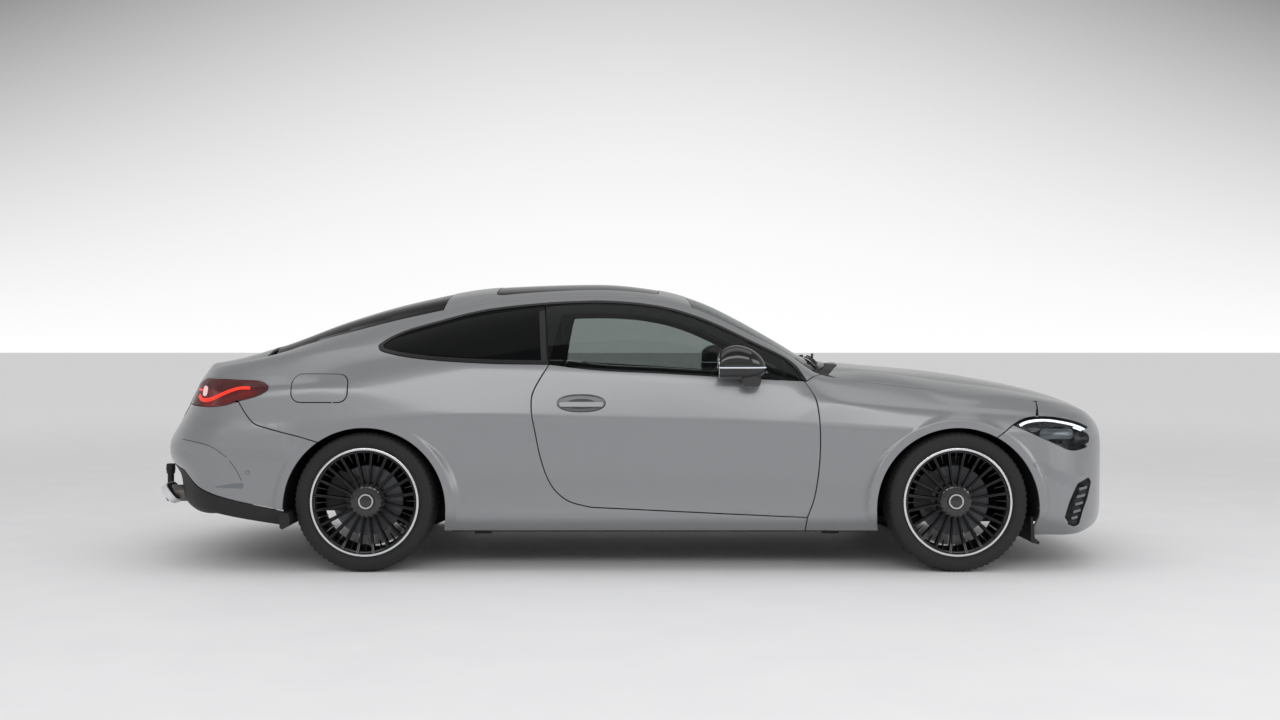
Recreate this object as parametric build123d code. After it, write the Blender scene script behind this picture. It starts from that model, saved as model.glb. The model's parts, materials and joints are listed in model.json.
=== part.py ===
"""Two-door coupe car, standing on its wheels, as an assembly of separate pieces.

Frame: X forward, Y to the car's left, Z up, millimetres. The origin is on the ground,
midway between the nose and the end of the tow ball, on the centre plane.

The car's skin is one lofted form, cut from cross-sections that run from nose to tail. Every
outer panel is a wall of that form, and side-view or plan-view outlines split it into panels.
Pieces of the right-hand side are made once and mirrored to the left.
"""
import os
from math import cos, radians, sin
from build123d import *

# ---------------------------------------------------------------- driving dimensions
WHEELBASE = 2865          # front axle to rear axle
FRONT_OVERHANG = 865      # front axle to nose
REAR_OVERHANG = 1120      # rear axle to rear bumper
TOW_REACH = 145           # rear bumper to the end of the tow ball
WIDTH = 1861              # across the shoulder crease
ROOF_HEIGHT = 1425        # ground to the top of the roof
TRACK = 1612              # between the wheel centres of one axle

TYRE_OD = 674             # 245/40 on a 19 inch rim, under load
TYRE_WIDTH = 245
TREAD_WIDTH = 196
RIM_FLANGE_OD = 526       # bright outer ring of the rim
RIM_SEAT_OD = 484         # bead seat
RIM_WIDTH = 214
RIM_WALL = 9
SPOKE_PAIRS = 10
SPOKE_WIDTH = 15
SPOKE_SPREAD = 9          # half angle between the two spokes of a pair, degrees
SPOKE_DEPTH = 24
HUB_OD = 152
HUB_FACE = 40             # mounting face, outboard of the wheel's centre plane
DISC_OD = 342             # brake disc
DISC_THICK = 28
KINGPIN_INSET = 46        # steering axis, inboard of the wheel's centre plane

WALL = 70                 # body side and door thickness
SKIN = 24                 # roof, bonnet and boot lid thickness
GLASS = 5
GAP = 6                   # shut gap round doors and lids
SEAT = 0.3                # clearance of a fixed piece on its seat
ARCH_RADIUS = 372         # wheel arch edge
ARCH_DROP = 24            # arch centre below the hub
ARCH_LIP = 30             # width of the lip that the arch edge turns in
WELL_RADIUS = 400         # wheel housing
LINER = 6
FRONT_WELL_Y = 490        # inner wall of the front wheel housing
REAR_WELL_Y = 600
FLOOR_Z = 212             # top of the cabin floor
FLOOR_THICK = 28
BALL_RADIUS = 25          # 50 mm tow ball
BALL_Z = 419

# ---------------------------------------------------------------- places from those sizes
TOTAL = FRONT_OVERHANG + WHEELBASE + REAR_OVERHANG + TOW_REACH
NOSE_X = TOTAL / 2
FRONT_X = NOSE_X - FRONT_OVERHANG
REAR_X = FRONT_X - WHEELBASE
TAIL_X = REAR_X - REAR_OVERHANG
BALL_X = -TOTAL / 2 + BALL_RADIUS
HALF = WIDTH / 2
HUB_Z = TYRE_OD / 2
WHEEL_Y = TRACK / 2
ARCH_Z = HUB_Z - ARCH_DROP
SIDES = (1, -1)

# ---------------------------------------------------------------- the body form
# Sections of the right-hand half, from nose to tail. Columns:
#   place    distance ahead of the axle that the row is measured from
#   bottom   height of the underside
#   skirt    inset from the half width at the skirt
#   mid      inset at mid height
#   crease   inset and height of the shoulder crease, the widest line
#   upper    inset and height of the upper crease
#   waist    inset and height of the waist, where the windows start
#   rail     inset of the roof rail (bonnet ridge, deck edge) and its drop below the roof
#   top      drop of the centre line below the roof's top
SKIRT_Z = 255
MIDDLE_Z = 440
PLACE, BOTTOM, SKIRT, MID, CREASE, CREASE_Z, UPPER, UPPER_Z, WAIST, WAIST_Z, RAIL, RAIL_DROP, TOP_DROP = range(13)
FRONT_ROWS = [
    (900, 225, 70, 70, 60, 560, 90, 640, 200, 668, 420, 735, 722),
    (760, 165, 45, 45, 30, 615, 65, 700, 150, 742, 370, 660, 638),
    (420, 150, 28, 25, 14, 668, 48, 762, 118, 800, 330, 572, 536),
    (0, 150, 16, 14, 6, 684, 42, 788, 115, 836, 330, 518, 468),
    (-440, 160, 22, 30, 12, 690, 40, 818, 108, 875, 330, 464, 428),
    (-640, 184, 24, 40, 14, 702, 40, 830, 90, 902, 235, 466, 404),
    (-780, 184, 24, 42, 14, 710, 38, 836, 60, 914, 170, 392, 324),
    (-995, 184, 24, 44, 13, 722, 36, 846, 56, 928, 240, 275, 200),
    (-1225, 184, 24, 45, 12, 735, 34, 855, 52, 941, 290, 167, 89),
    (-1430, 184, 24, 46, 10, 742, 32, 860, 50, 953, 318, 107, 32),
    (-1750, 184, 24, 46, 8, 752, 31, 868, 50, 969, 335, 80, 0),
]
REAR_ROWS = [
    (575, 184, 24, 44, 5, 764, 30, 882, 54, 995, 335, 115, 17),
    (130, 184, 20, 20, 0, 740, 26, 895, 62, 1010, 330, 190, 95),
    (-220, 184, 18, 12, 2, 705, 26, 905, 90, 1004, 310, 275, 197),
    (-520, 210, 22, 18, 8, 690, 36, 908, 135, 985, 280, 368, 316),
    (-850, 250, 38, 32, 30, 670, 66, 885, 170, 950, 290, 428, 415),
    (-1140, 285, 60, 52, 55, 650, 90, 860, 200, 930, 300, 450, 440),
]
ROWS = [(FRONT_X + row[PLACE],) + row[1:] for row in FRONT_ROWS]
ROWS += [(REAR_X + row[PLACE],) + row[1:] for row in REAR_ROWS]


def at(column, x):
    """The value of a column of the table at place x, straight between two rows."""
    for ahead, behind in zip(ROWS, ROWS[1:]):
        if ahead[PLACE] >= x >= behind[PLACE]:
            share = (ahead[PLACE] - x) / (ahead[PLACE] - behind[PLACE])
            return ahead[column] + share * (behind[column] - ahead[column])
    return ROWS[0][column] if x > ROWS[0][PLACE] else ROWS[-1][column]


def rail_z(x):
    """Height of the roof rail at place x."""
    return ROOF_HEIGHT - at(RAIL_DROP, x)


def section(row, side, skin):
    """Right half of one section, moved in by side at the flank and by skin above and below."""
    half = HALF - side
    low = row[BOTTOM] + skin
    roof = ROOF_HEIGHT - row[TOP_DROP] - skin
    corners = [
        (0, low),
        (half - row[SKIRT] - 70, low),
        (half - row[SKIRT], max(SKIRT_Z, low + 20)),
        (half - row[MID], max(MIDDLE_Z, low + 60)),
        (half - row[CREASE], row[CREASE_Z]),
        (half - row[UPPER], row[UPPER_Z]),
        (half - row[WAIST], row[WAIST_Z] - skin * 0.4),
        (HALF - row[RAIL] - side * 0.7, ROOF_HEIGHT - row[RAIL_DROP] - skin),
    ]
    right = [Vector(row[PLACE], -y, z) for y, z in corners]
    top = Vector(row[PLACE], 0, roof)
    across_top = ThreePointArc(right[-1], top, Vector(row[PLACE], -right[-1].Y, right[-1].Z))
    edges = [Line(p, q) for p, q in zip(right, right[1:])]
    edges += [across_top.trim(0, 0.5), Line(top, right[0])]
    return Face(Wire(edges))


def block(x0, x1, y0, y1, z0, z1):
    """A box between two corners."""
    return Pos((x0 + x1) / 2, (y0 + y1) / 2, (z0 + z1) / 2) * Box(abs(x1 - x0), abs(y1 - y0), abs(z1 - z0))


def box_of(x0, x1, half, z0, z1):
    """A box symmetrical over the centre line."""
    return block(x0, x1, -half, half, z0, z1)


# Plan view of the two ends of the car. Columns: distance from the tip, and half width there.
NOSE_PLAN = [(0, 0), (81, 650), (175, 790), (380, 880), (800, 960)]
TAIL_PLAN = [(0, 0), (52, 600), (150, 790), (330, 880), (700, 960)]
TAIL_TURN_Z = 610         # above it, the tail slopes forward
TAIL_SLOPE = 203 / 392    # forward for each unit up


def end_face(tip, sign, plan, side, z, depth=1900):
    """Plan-view face of one end: round to the tip, then along both flanks."""
    places = [(tip - sign * (back + side), y - (side * 0.4 if y else 0)) for back, y in plan]
    (x0, _), (x1, y1), (x2, y2), (x3, y3), (x4, y4) = places
    inner = tip - sign * depth

    def flank(s):
        return [ThreePointArc((x1, s * y1, z), (x2, s * y2, z), (x3, s * y3, z)),
                Line((x3, s * y3, z), (x4, s * y4, z)), Line((x4, s * y4, z), (inner, s * y4, z))]
    edges = [ThreePointArc((x1, -y1, z), (x0, 0, z), (x1, y1, z))] + flank(1) + flank(-1)
    edges.append(Line((inner, y4, z), (inner, -y4, z)))
    return Face(Wire(edges))


def form(side, skin):
    """Right half of the body form, set in by side at flank and ends, by skin above and below."""
    body = loft([section(row, side, skin) for row in ROWS], ruled=True)
    high = ROOF_HEIGHT + 100
    lean = Vector(TAIL_SLOPE, 0, 1)
    upper = high - TAIL_TURN_Z
    nose = extrude(end_face(NOSE_X, 1, NOSE_PLAN, side, 0), amount=high, dir=(0, 0, 1))
    tail = extrude(end_face(TAIL_X, -1, TAIL_PLAN, side, 0), amount=TAIL_TURN_Z, dir=(0, 0, 1))
    tail += extrude(end_face(TAIL_X, -1, TAIL_PLAN, side, TAIL_TURN_Z), amount=upper * lean.length,
                    dir=lean.normalized())
    ahead = block(NOSE_X - 1000, NOSE_X + 300, -1200, 10, -10, high)
    behind = block(TAIL_X + 1200, TAIL_X - 300, -1200, 10, -10, high)
    return body - (ahead - nose) - (behind - tail)


# ---------------------------------------------------------------- cutting tools
def f(*pairs):
    """Side-view points (distance ahead of the front axle, height)."""
    return [(FRONT_X + x, z) for x, z in pairs]


def r(*pairs):
    """Side-view points (distance ahead of the rear axle, height)."""
    return [(REAR_X + x, z) for x, z in pairs]


def side_prism(outline, y0=-1200.0, y1=1200.0, grow=0.0):
    """A solid with the given side-view outline (x, z), from y0 to y1, grown all round."""
    wire = Wire.make_polygon([Vector(x, y0, z) for x, z in outline], close=True)
    if grow:
        wire = wire.offset_2d(grow, kind=Kind.INTERSECTION)
    return extrude(Face(wire), amount=y1 - y0, dir=(0, 1, 0))


def plan_prism(outline, z0, z1, grow=0.0):
    """A solid with the given plan-view outline (x, y), mirrored over the centre line."""
    mirrored = [(x, -y) for x, y in reversed(outline)]
    wire = Wire.make_polygon([Vector(x, y, z0) for x, y in outline + mirrored], close=True)
    if grow:
        wire = wire.offset_2d(grow, kind=Kind.INTERSECTION)
    return extrude(Face(wire), amount=z1 - z0, dir=(0, 0, 1))


def across(x, z, radius, y0, y1):
    """A cylinder along Y."""
    return Pos(x, (y0 + y1) / 2, z) * Rot(90, 0, 0) * Cylinder(radius, abs(y1 - y0))


def upright(x, y, radius, z0, z1):
    """A cylinder along Z."""
    return Pos(x, y, (z0 + z1) / 2) * Cylinder(radius, z1 - z0)


def along(y, z, radius, x0, x1):
    """A cylinder along X."""
    return Pos((x0 + x1) / 2, y, z) * Rot(0, 90, 0) * Cylinder(radius, abs(x1 - x0))


def left_of(solid):
    """The left-hand twin of a right-hand piece."""
    return mirror(solid, about=Plane.XZ)


def pair(solid):
    """A right-hand piece and its twin, as solids of one node."""
    return Compound(children=list(solid.solids()) + list(left_of(solid).solids()))


# ---------------------------------------------------------------- outlines of the panels
DOOR_FRONT = f((-736, 922), (-706, 880), (-682, 832), (-663, 640), (-668, 495), (-692, 351), (-726, 262))
DOOR_REAR = r((1090, 312), (985, 341), (922, 389), (884, 447), (850, 543), (821, 687), (806, 784), (811, 861),
              (888, 1003))
DOOR = DOOR_FRONT + DOOR_REAR
WINDOW_FRONT = f((-721, 921))
WINDOW_TIP = r((410, 1180), (302, 1211), (155, 1165), (80, 1126), (42, 1091), (57, 1072), (120, 1053), (265, 1019))
RAIL_FRAME = 25           # roof rail above the side windows
window_top = [(x, rail_z(x) - RAIL_FRAME) for x in [row[PLACE] for row in ROWS[6:12]]]
window_foot = [(x, at(WAIST_Z, x) + 8) for x in (REAR_X + 575, REAR_X + 878)]
window_foot += [(row[PLACE], row[WAIST_Z] + 8) for row in reversed(ROWS[7:11])]
WINDOWS = WINDOW_FRONT + window_top + WINDOW_TIP[1:] + window_foot
B_LINE = r((851, 1400), (916, 700))
B_PILLAR = 75             # width of the pillar behind the quarter glass

AHEAD_OF_B = [B_LINE[0], (FRONT_X, 1400), (FRONT_X, 700), B_LINE[1]]
BEHIND_B = [(x - GAP, z) for x, z in B_LINE] + [(TAIL_X, 700), (TAIL_X, 1400)]
FENDER_REAR = f((-632, 1600), (-632, 985), (-730, 922), (-730, 0))
LAMP_Y = 480              # inner end of the headlamp
GRILLE_RIM = 16
GRILLE_BAR = 12
GRILLE_BARS = 5
MIRROR_Z = 990
TIP_Y = 550
TIP_RADIUS = 42
MUFFLER_Z = 345
NECK_Z = 265
BOOT_Z = 412
NECK_RADIUS = 17
JACK_Y = 770
JACK_PAD = 12
FLAP_THICK = 6
POST_DEPTH = 60
LEDGE_DEPTH = 30
FLAP_GAP = 4
BONNET = [(FRONT_X - 478, 0), (FRONT_X - 520, 400), (FRONT_X - 600, 690), (FRONT_X - 560, 735),
          (FRONT_X + 380, 745), (FRONT_X + 640, 690), (FRONT_X + 742, 560), (FRONT_X + 795, 300), (FRONT_X + 808, 0)]
SCREEN = [(FRONT_X - 1290, 0), (FRONT_X - 1270, 535), (FRONT_X - 1255, 560), (FRONT_X - 780, 700),
          (FRONT_X - 640, 730)] + [(x - GAP - 2, y) for x, y in BONNET[2::-1]]
ROOF = [(FRONT_X - 1290, 0), (FRONT_X - 1270, 535), (REAR_X + 330, 535), (REAR_X + 330, 0)]
ROOF_GLASS = [(FRONT_X - 1440, 0), (FRONT_X - 1430, 440), (REAR_X + 590, 440), (REAR_X + 590, 0)]
REAR_SCREEN = [(REAR_X + 330, 0), (REAR_X + 330, 520), (REAR_X - 500, 600), (REAR_X - 530, 0)]
BONNET_FOOT_Z = 664
LID_FRONT = REAR_X - 550
LID_HALF = 600
LID_FOOT_Z = 745
HEADLAMP = f((303, 713), (360, 735), (410, 745), (510, 745), (603, 724), (720, 700), (770, 680), (765, 600),
             (660, 585), (568, 585), (503, 605), (430, 649))
TAIL_LAMP = r((-1090, 800), (-860, 800), (-750, 797), (-628, 822), (-520, 856), (-492, 886), (-520, 915),
              (-700, 930), (-1090, 930))
FENDER_CUT = f((391, 1000), (391, 761), (284, 717), (216, 664))
REAR_CUT = r((-620, 870), (-606, 835), (-567, 758), (-529, 719), (-461, 695), (-316, 651), (-243, 632))
GRILLE_HALF = 440
GRILLE_Z0 = 335
GRILLE_Z1 = 640
FLAP_BOX_X = (REAR_X - 370, REAR_X - 66)
FLAP_BOX_Z = (804, 972)
FLAP = r((-354, 835), (-354, 941), (-338, 956), (-98, 956), (-82, 941), (-82, 835), (-98, 820), (-338, 820))

# ---------------------------------------------------------------- forms and walls
OUTER = form(0, 0)
INNER = form(WALL, SKIN)
SILL_Y = HALF - WALL - 40
WELL_Y = HALF - ARCH_LIP - 15
TALL = ROOF_HEIGHT + 100
NOSE_END = NOSE_X + 100
TAIL_END = TAIL_X - 100


def housings(radius, z, inner_front, inner_rear, y):
    """Cylinders round the right-hand wheels, from an inner wall out to y."""
    return [across(FRONT_X, z, radius, -inner_front, -y), across(REAR_X, z, radius, -inner_rear, -y)]


openings = housings(WELL_RADIUS, HUB_Z, FRONT_WELL_Y, REAR_WELL_Y, WELL_Y)
openings += housings(ARCH_RADIUS, ARCH_Z, FRONT_WELL_Y, REAR_WELL_Y, HALF + 50)
underside = block(NOSE_X - 250, TAIL_X + 150, -SILL_Y, 10, 0, FLOOR_Z + 50)
under_boot = block(REAR_X - 300, TAIL_X + 150, -REAR_WELL_Y - 40, 10, 0, 340)
shell = OUTER - [INNER, underside, under_boot] - openings
greenhouse = block(FRONT_X - 400, REAR_X - 600, -HALF - 50, 10, 800, TALL)
glass_layer = (OUTER & greenhouse) - form(GLASS, GLASS)
front_shell = shell & block(FRONT_X - 800, NOSE_END, -HALF - 50, 10, 0, TALL)
tail_shell = shell & block(REAR_X, TAIL_END, -HALF - 50, 10, 0, TALL)


def whole(half):
    """A right-hand half and its mirror image, joined on the centre plane."""
    return half + left_of(half)


def region(outline, grow=0.0):
    """A side-view outline carried across the right-hand half of the car."""
    return side_prism(outline, -1200, 10, grow)


parts = {}

# ---------------------------------------------------------------- doors, lids and flap
door_cut = region(DOOR, GAP)
bonnet_cut = plan_prism(BONNET, BONNET_FOOT_Z - GAP, 1100, GAP)
lid_cut = block(LID_FRONT + GAP, TAIL_END, -LID_HALF - GAP, 10, LID_FOOT_Z - GAP, TALL)
parts["bonnet"] = whole(front_shell & plan_prism(BONNET, BONNET_FOOT_Z, 1100))
parts["boot_lid"] = whole(tail_shell & block(LID_FRONT, TAIL_END, -LID_HALF, 10, LID_FOOT_Z, TALL))
door = (shell & region(DOOR)) - region(WINDOWS, SEAT)
flap = (OUTER & region(FLAP)) - form(FLAP_THICK, FLAP_THICK)
flap_arm = block(REAR_X - 110, FLAP[4][0] + FLAP_GAP - SEAT, -HALF + 30, -HALF + 58, 870, 905)
parts["fuel_flap"] = flap + flap_arm

# ---------------------------------------------------------------- glass
side_glass = glass_layer & region(WINDOWS)
door_glass = side_glass & region(AHEAD_OF_B)
parts["quarter_glass"] = pair(side_glass & region(BEHIND_B))
parts["windscreen"] = whole(glass_layer & plan_prism(SCREEN, 880, TALL))
parts["rear_window"] = whole(glass_layer & plan_prism(REAR_SCREEN, 900, TALL))
parts["roof_glass"] = whole(glass_layer & plan_prism(ROOF_GLASS, 1200, TALL))

# ---------------------------------------------------------------- roof and body sides
roof = (shell & plan_prism(ROOF, 1200, TALL)) - [
    plan_prism(ROOF_GLASS, 1200, TALL, SEAT), plan_prism(SCREEN, 880, TALL, SEAT),
    plan_prism(REAR_SCREEN, 880, TALL, SEAT)]
parts["roof_panel"] = whole(roof)
side_region = [(x - SEAT, z) for x, z in FENDER_REAR] + [(TAIL_END, 0), (TAIL_END, TALL)]
bumper_rear = REAR_CUT[::-1] + [(TAIL_END, REAR_CUT[0][1]), (TAIL_END, 0), (REAR_CUT[-1][0], 0)]
sides = (shell & region(side_region)) - [
    door_cut, region(WINDOWS, GAP) & region(AHEAD_OF_B, GAP), region(WINDOWS, SEAT), bonnet_cut, lid_cut,
    plan_prism(ROOF, 1100, TALL, SEAT),
    plan_prism(SCREEN, 880, TALL, SEAT), plan_prism(REAR_SCREEN, 880, TALL, SEAT),
    region(TAIL_LAMP, SEAT), region(bumper_rear, SEAT)]
pocket_wall = block(*FLAP_BOX_X, -HALF + WALL + 20, -HALF + WALL + 32, *FLAP_BOX_Z)
post_wall = Pos(0, SEAT, 0) * INNER - Pos(0, POST_DEPTH, 0) * INNER
posts = post_wall & [block(FRONT_X - 760, FRONT_X - 700, -HALF, -600, 230, 880),
                     block(REAR_X + 780, REAR_X + 845, -HALF, -500, 230, 1310)]
ledge = (Pos(0, 0, -SEAT) * INNER - Pos(0, 0, -LEDGE_DEPTH) * INNER) & block(
    LID_FRONT - 60, LID_FRONT + 30, -LID_HALF + 40, 10, 1000, 1200)
lid_strip = (OUTER - Pos(0, 0, -LEDGE_DEPTH) * INNER) & block(
    LID_FRONT + GAP, LID_FRONT + GAP + 8, -LID_HALF, 10, 1000, 1200)
parts["body_shell"] = (whole(sides + posts + ledge + lid_strip) - region(FLAP, FLAP_GAP)) + pocket_wall

# ---------------------------------------------------------------- front end
fender_region = FENDER_REAR + [(FENDER_CUT[-1][0], 0)] + FENDER_CUT[::-1] + [(FENDER_CUT[0][0], TALL)]
parts["front_fenders"] = pair((front_shell & region(fender_region)) - [
    door_cut, bonnet_cut, plan_prism(SCREEN, 880, TALL, SEAT), region(WINDOWS, GAP)])
nose_region = [(x + SEAT, z) for x, z in FENDER_CUT + [(FENDER_CUT[-1][0], 0)]]
nose_region += [(NOSE_END, 0), (NOSE_END, 1000)]
parts["headlamps"] = pair((front_shell & side_prism(HEADLAMP, -1200, -LAMP_Y)) - bonnet_cut)
lamp_hole = side_prism(HEADLAMP, -1200, -LAMP_Y + SEAT, SEAT)
grille_hole = block(NOSE_X - 400, NOSE_END, -GRILLE_HALF, 10, GRILLE_Z0, GRILLE_Z1)
front = (front_shell & region(nose_region)) - [bonnet_cut, lamp_hole, grille_hole]
parts["front_bumper"] = whole(front)
high = GRILLE_Z1 - GRILLE_Z0 - 2 * SEAT


def nose_band(depth_out, depth_in, z0, height):
    """A wall that follows the nose in plan, between two depths behind the skin."""
    outer = extrude(end_face(NOSE_X, 1, NOSE_PLAN, depth_out, z0), amount=height, dir=(0, 0, 1))
    inner = extrude(end_face(NOSE_X, 1, NOSE_PLAN, depth_in, z0), amount=height, dir=(0, 0, 1))
    return outer - inner


grille_wide = GRILLE_HALF - SEAT
grille = nose_band(12, 60, GRILLE_Z0 + SEAT, high)
grille &= block(NOSE_X - 300, NOSE_END, -grille_wide, grille_wide, 0, TALL)
slot = (high - 2 * GRILLE_RIM - (GRILLE_BARS - 1) * GRILLE_BAR) / GRILLE_BARS
slots = [box_of(NOSE_X - 300, NOSE_END, grille_wide - GRILLE_RIM, z, z + slot)
         for z in [GRILLE_Z0 + GRILLE_RIM + i * (slot + GRILLE_BAR) for i in range(GRILLE_BARS)]]
parts["grille"] = grille - slots

# ---------------------------------------------------------------- rear end
tail_lamp = tail_shell & side_prism(TAIL_LAMP, -1200, -LID_HALF - GAP)
parts["tail_lamps"] = pair(tail_lamp)
tip_hole = along(-TIP_Y, MUFFLER_Z, TIP_RADIUS + GAP, TAIL_END, TAIL_X + 300)
neck_notch = along(0, NECK_Z, NECK_RADIUS + GAP, TAIL_END, TAIL_X + 300)
rear = (tail_shell & region(bumper_rear)) - [lid_cut, region(TAIL_LAMP, SEAT), tip_hole, neck_notch]
parts["rear_bumper"] = whole(rear)

# ---------------------------------------------------------------- mirrors
arm = block(FRONT_X - 1010, FRONT_X - 965, -HALF + 58, -HALF - 40, MIRROR_Z - 110, MIRROR_Z - 50)
head = Pos(FRONT_X - 1035, -HALF - 20, MIRROR_Z) * Box(150, 180, 125)
head = fillet(head.edges(), 40)
mirror_right = (head + arm) - door


for name, piece in (("door", door), ("door_glass", door_glass), ("mirror", mirror_right)):
    parts[name + "_right"] = piece
    parts[name + "_left"] = left_of(piece)

# ---------------------------------------------------------------- floor
CABIN_HALF = HALF - WALL - 60
FIREWALL_X = FRONT_X - 560
floor_half = SILL_Y - SEAT
low = FLOOR_Z - FLOOR_THICK
floor = box_of(FRONT_X - WELL_RADIUS - 10, REAR_X + WELL_RADIUS + 10, floor_half, low, FLOOR_Z)
floor += box_of(FRONT_X - WELL_RADIUS - 20, FRONT_X + 620, FRONT_WELL_Y - 60, low, FLOOR_Z)
floor += box_of(FIREWALL_X, FIREWALL_X - 30, CABIN_HALF, low, 820)
for x in (FRONT_X - 600, REAR_X + 560):
    floor += [block(x - 40, x + 40, s * JACK_Y - 30, s * JACK_Y + 30, low - JACK_PAD, low) for s in SIDES]
floor += whole(block(FIREWALL_X - 10, FIREWALL_X + 100, -600, 10, 800, TALL) & Pos(0, 0, -SEAT) * INNER)
floor += box_of(FIREWALL_X - 20, REAR_X + 480, 130, low, 400) - box_of(FIREWALL_X + 50, REAR_X + 400, 105, 0, 375)
floor += box_of(REAR_X + WELL_RADIUS + 30, REAR_X + WELL_RADIUS + 60, REAR_WELL_Y - 10, low, 440)
floor += box_of(REAR_X + WELL_RADIUS + 60, TAIL_X + 160, REAR_WELL_Y - 10, BOOT_Z, BOOT_Z + 28)
floor += box_of(REAR_X - 40, REAR_X - 70, REAR_WELL_Y - 10, 430, 880)
floor += box_of(REAR_X - 60, REAR_X - 480, REAR_WELL_Y - 10, 852, 880)
parts["floor_pan"] = floor

# ---------------------------------------------------------------- wheel housings
liners = []
for x, inner in ((FRONT_X, FRONT_WELL_Y), (REAR_X, REAR_WELL_Y)):
    ring = across(x, HUB_Z, WELL_RADIUS - SEAT, -inner, -WELL_Y + SEAT)
    ring -= across(x, HUB_Z, WELL_RADIUS - LINER, -inner - LINER, -WELL_Y - 10)
    ring -= block(x - 500, x + 500, -inner + 10, -WELL_Y - 10, -200, FLOOR_Z + 50)
    ring -= block(x - 110, x + 110, -inner + 10, -inner - LINER - 5, 0, HUB_Z + 190)
    liners.append(ring)
parts["arch_liners"] = Compound(children=[s for ring in liners for s in (ring, left_of(ring))])

# ---------------------------------------------------------------- cabin
SEAT_Y = 370
SEAT_X = FRONT_X - 1750
cushion = block(SEAT_X, SEAT_X + 500, SEAT_Y - 235, SEAT_Y + 235, FLOOR_Z + 150, FLOOR_Z + 300)
plinth = block(SEAT_X + 40, SEAT_X + 420, SEAT_Y - 190, SEAT_Y + 190, FLOOR_Z + SEAT, FLOOR_Z + 160)
back = Pos(SEAT_X - 10, SEAT_Y, FLOOR_Z + 240) * Rot(0, -22, 0) * Pos(0, 0, 320) * Box(110, 480, 640)
rest = Pos(SEAT_X - 10, SEAT_Y, FLOOR_Z + 240) * Rot(0, -22, 0) * Pos(0, 0, 730) * Box(80, 260, 190)
seat = plinth + cushion + back + rest
parts["front_seats"] = pair(seat)
bench = box_of(REAR_X + 10, REAR_X + 480, 590, 440 + SEAT, 570)
bench += side_prism([(REAR_X + 120, 450), (REAR_X + 30, 450), (REAR_X - 34, 850), (REAR_X + 40, 1000),
                     (REAR_X + 110, 1000)], -590, 590) & box_of(REAR_X - 39, REAR_X + 500, 590, 440 + SEAT, 1100)
parts["rear_bench"] = bench
DASH_HALF = 745
DASH = f((-590 - SEAT, 560), (-590 - SEAT, 800), (-650, 868), (-760, 925), (-880, 925), (-930, 880), (-930, 740),
         (-800, 640))
dash = side_prism(DASH, -DASH_HALF, DASH_HALF)

# ---------------------------------------------------------------- steering wheel
WHEEL_TILT = 24
wheel_at = Pos(FIREWALL_X - 480, SEAT_Y, 850) * Rot(0, -90 + WHEEL_TILT, 0)
steering = Torus(172, 16) + Cylinder(60, 45) + Box(330, 34, 16) + Pos(0, -85, 0) * Box(34, 170, 16)
parts["steering_wheel"] = wheel_at * steering
parts["dashboard"] = dash + wheel_at * Pos(0, 0, -112) * Cylinder(36, 178)

# ---------------------------------------------------------------- engine, exhaust, tow bar
engine = box_of(FRONT_X - 480, FRONT_X + 220, 260, 290 + SEAT, 800)
parts["engine_block"] = engine
muffler = box_of(TAIL_X + 230, TAIL_X + 480, 420, MUFFLER_Z - 75, BOOT_Z - SEAT)
tips = [along(s * TIP_Y, MUFFLER_Z, TIP_RADIUS, TAIL_X + 53, TAIL_X + 300) for s in SIDES]
parts["exhaust"] = muffler + tips + box_of(TAIL_X + 280, TAIL_X + 330, TIP_Y, MUFFLER_Z - 20, MUFFLER_Z + 20)
beam = box_of(TAIL_X + 160, TAIL_X + 220, 480, 260, 340)
neck_turn = BALL_X + 40
neck = along(0, NECK_Z, NECK_RADIUS, neck_turn, TAIL_X + 200) + upright(BALL_X, 0, NECK_RADIUS, NECK_Z + 35, BALL_Z)
neck += Pos(BALL_X + 18, 0, NECK_Z + 18) * Rot(0, 45, 0) * Cylinder(NECK_RADIUS, 60)
beam += [block(TAIL_X + 170, TAIL_X + 210, s * 380, s * 430, 330, BOOT_Z - SEAT) for s in SIDES]
parts["tow_bar"] = beam + neck + Pos(BALL_X, 0, BALL_Z) * Sphere(BALL_RADIUS)

# ---------------------------------------------------------------- axles and knuckles
KINGPIN_Y = WHEEL_Y - KINGPIN_INSET
ARM_Z = 118               # arms above and below the hub at the kingpin
ARM_HALF = 22             # half width of an arm
ARM_PAST = 8              # how far an arm reaches past the kingpin, clear of the steered brake disc
PIN_GAP = 0.5


def axle_arms(x, inner, s):
    """Lower and upper arm of one wheel."""
    end = KINGPIN_Y + ARM_PAST
    lower = block(x - ARM_HALF, x + ARM_HALF, s * inner, s * end, HUB_Z - ARM_Z - 26, HUB_Z - ARM_Z - PIN_GAP)
    upper = block(x - ARM_HALF, x + ARM_HALF, s * inner, s * end, HUB_Z + ARM_Z + PIN_GAP, HUB_Z + ARM_Z + 24)
    return lower + upper


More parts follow.
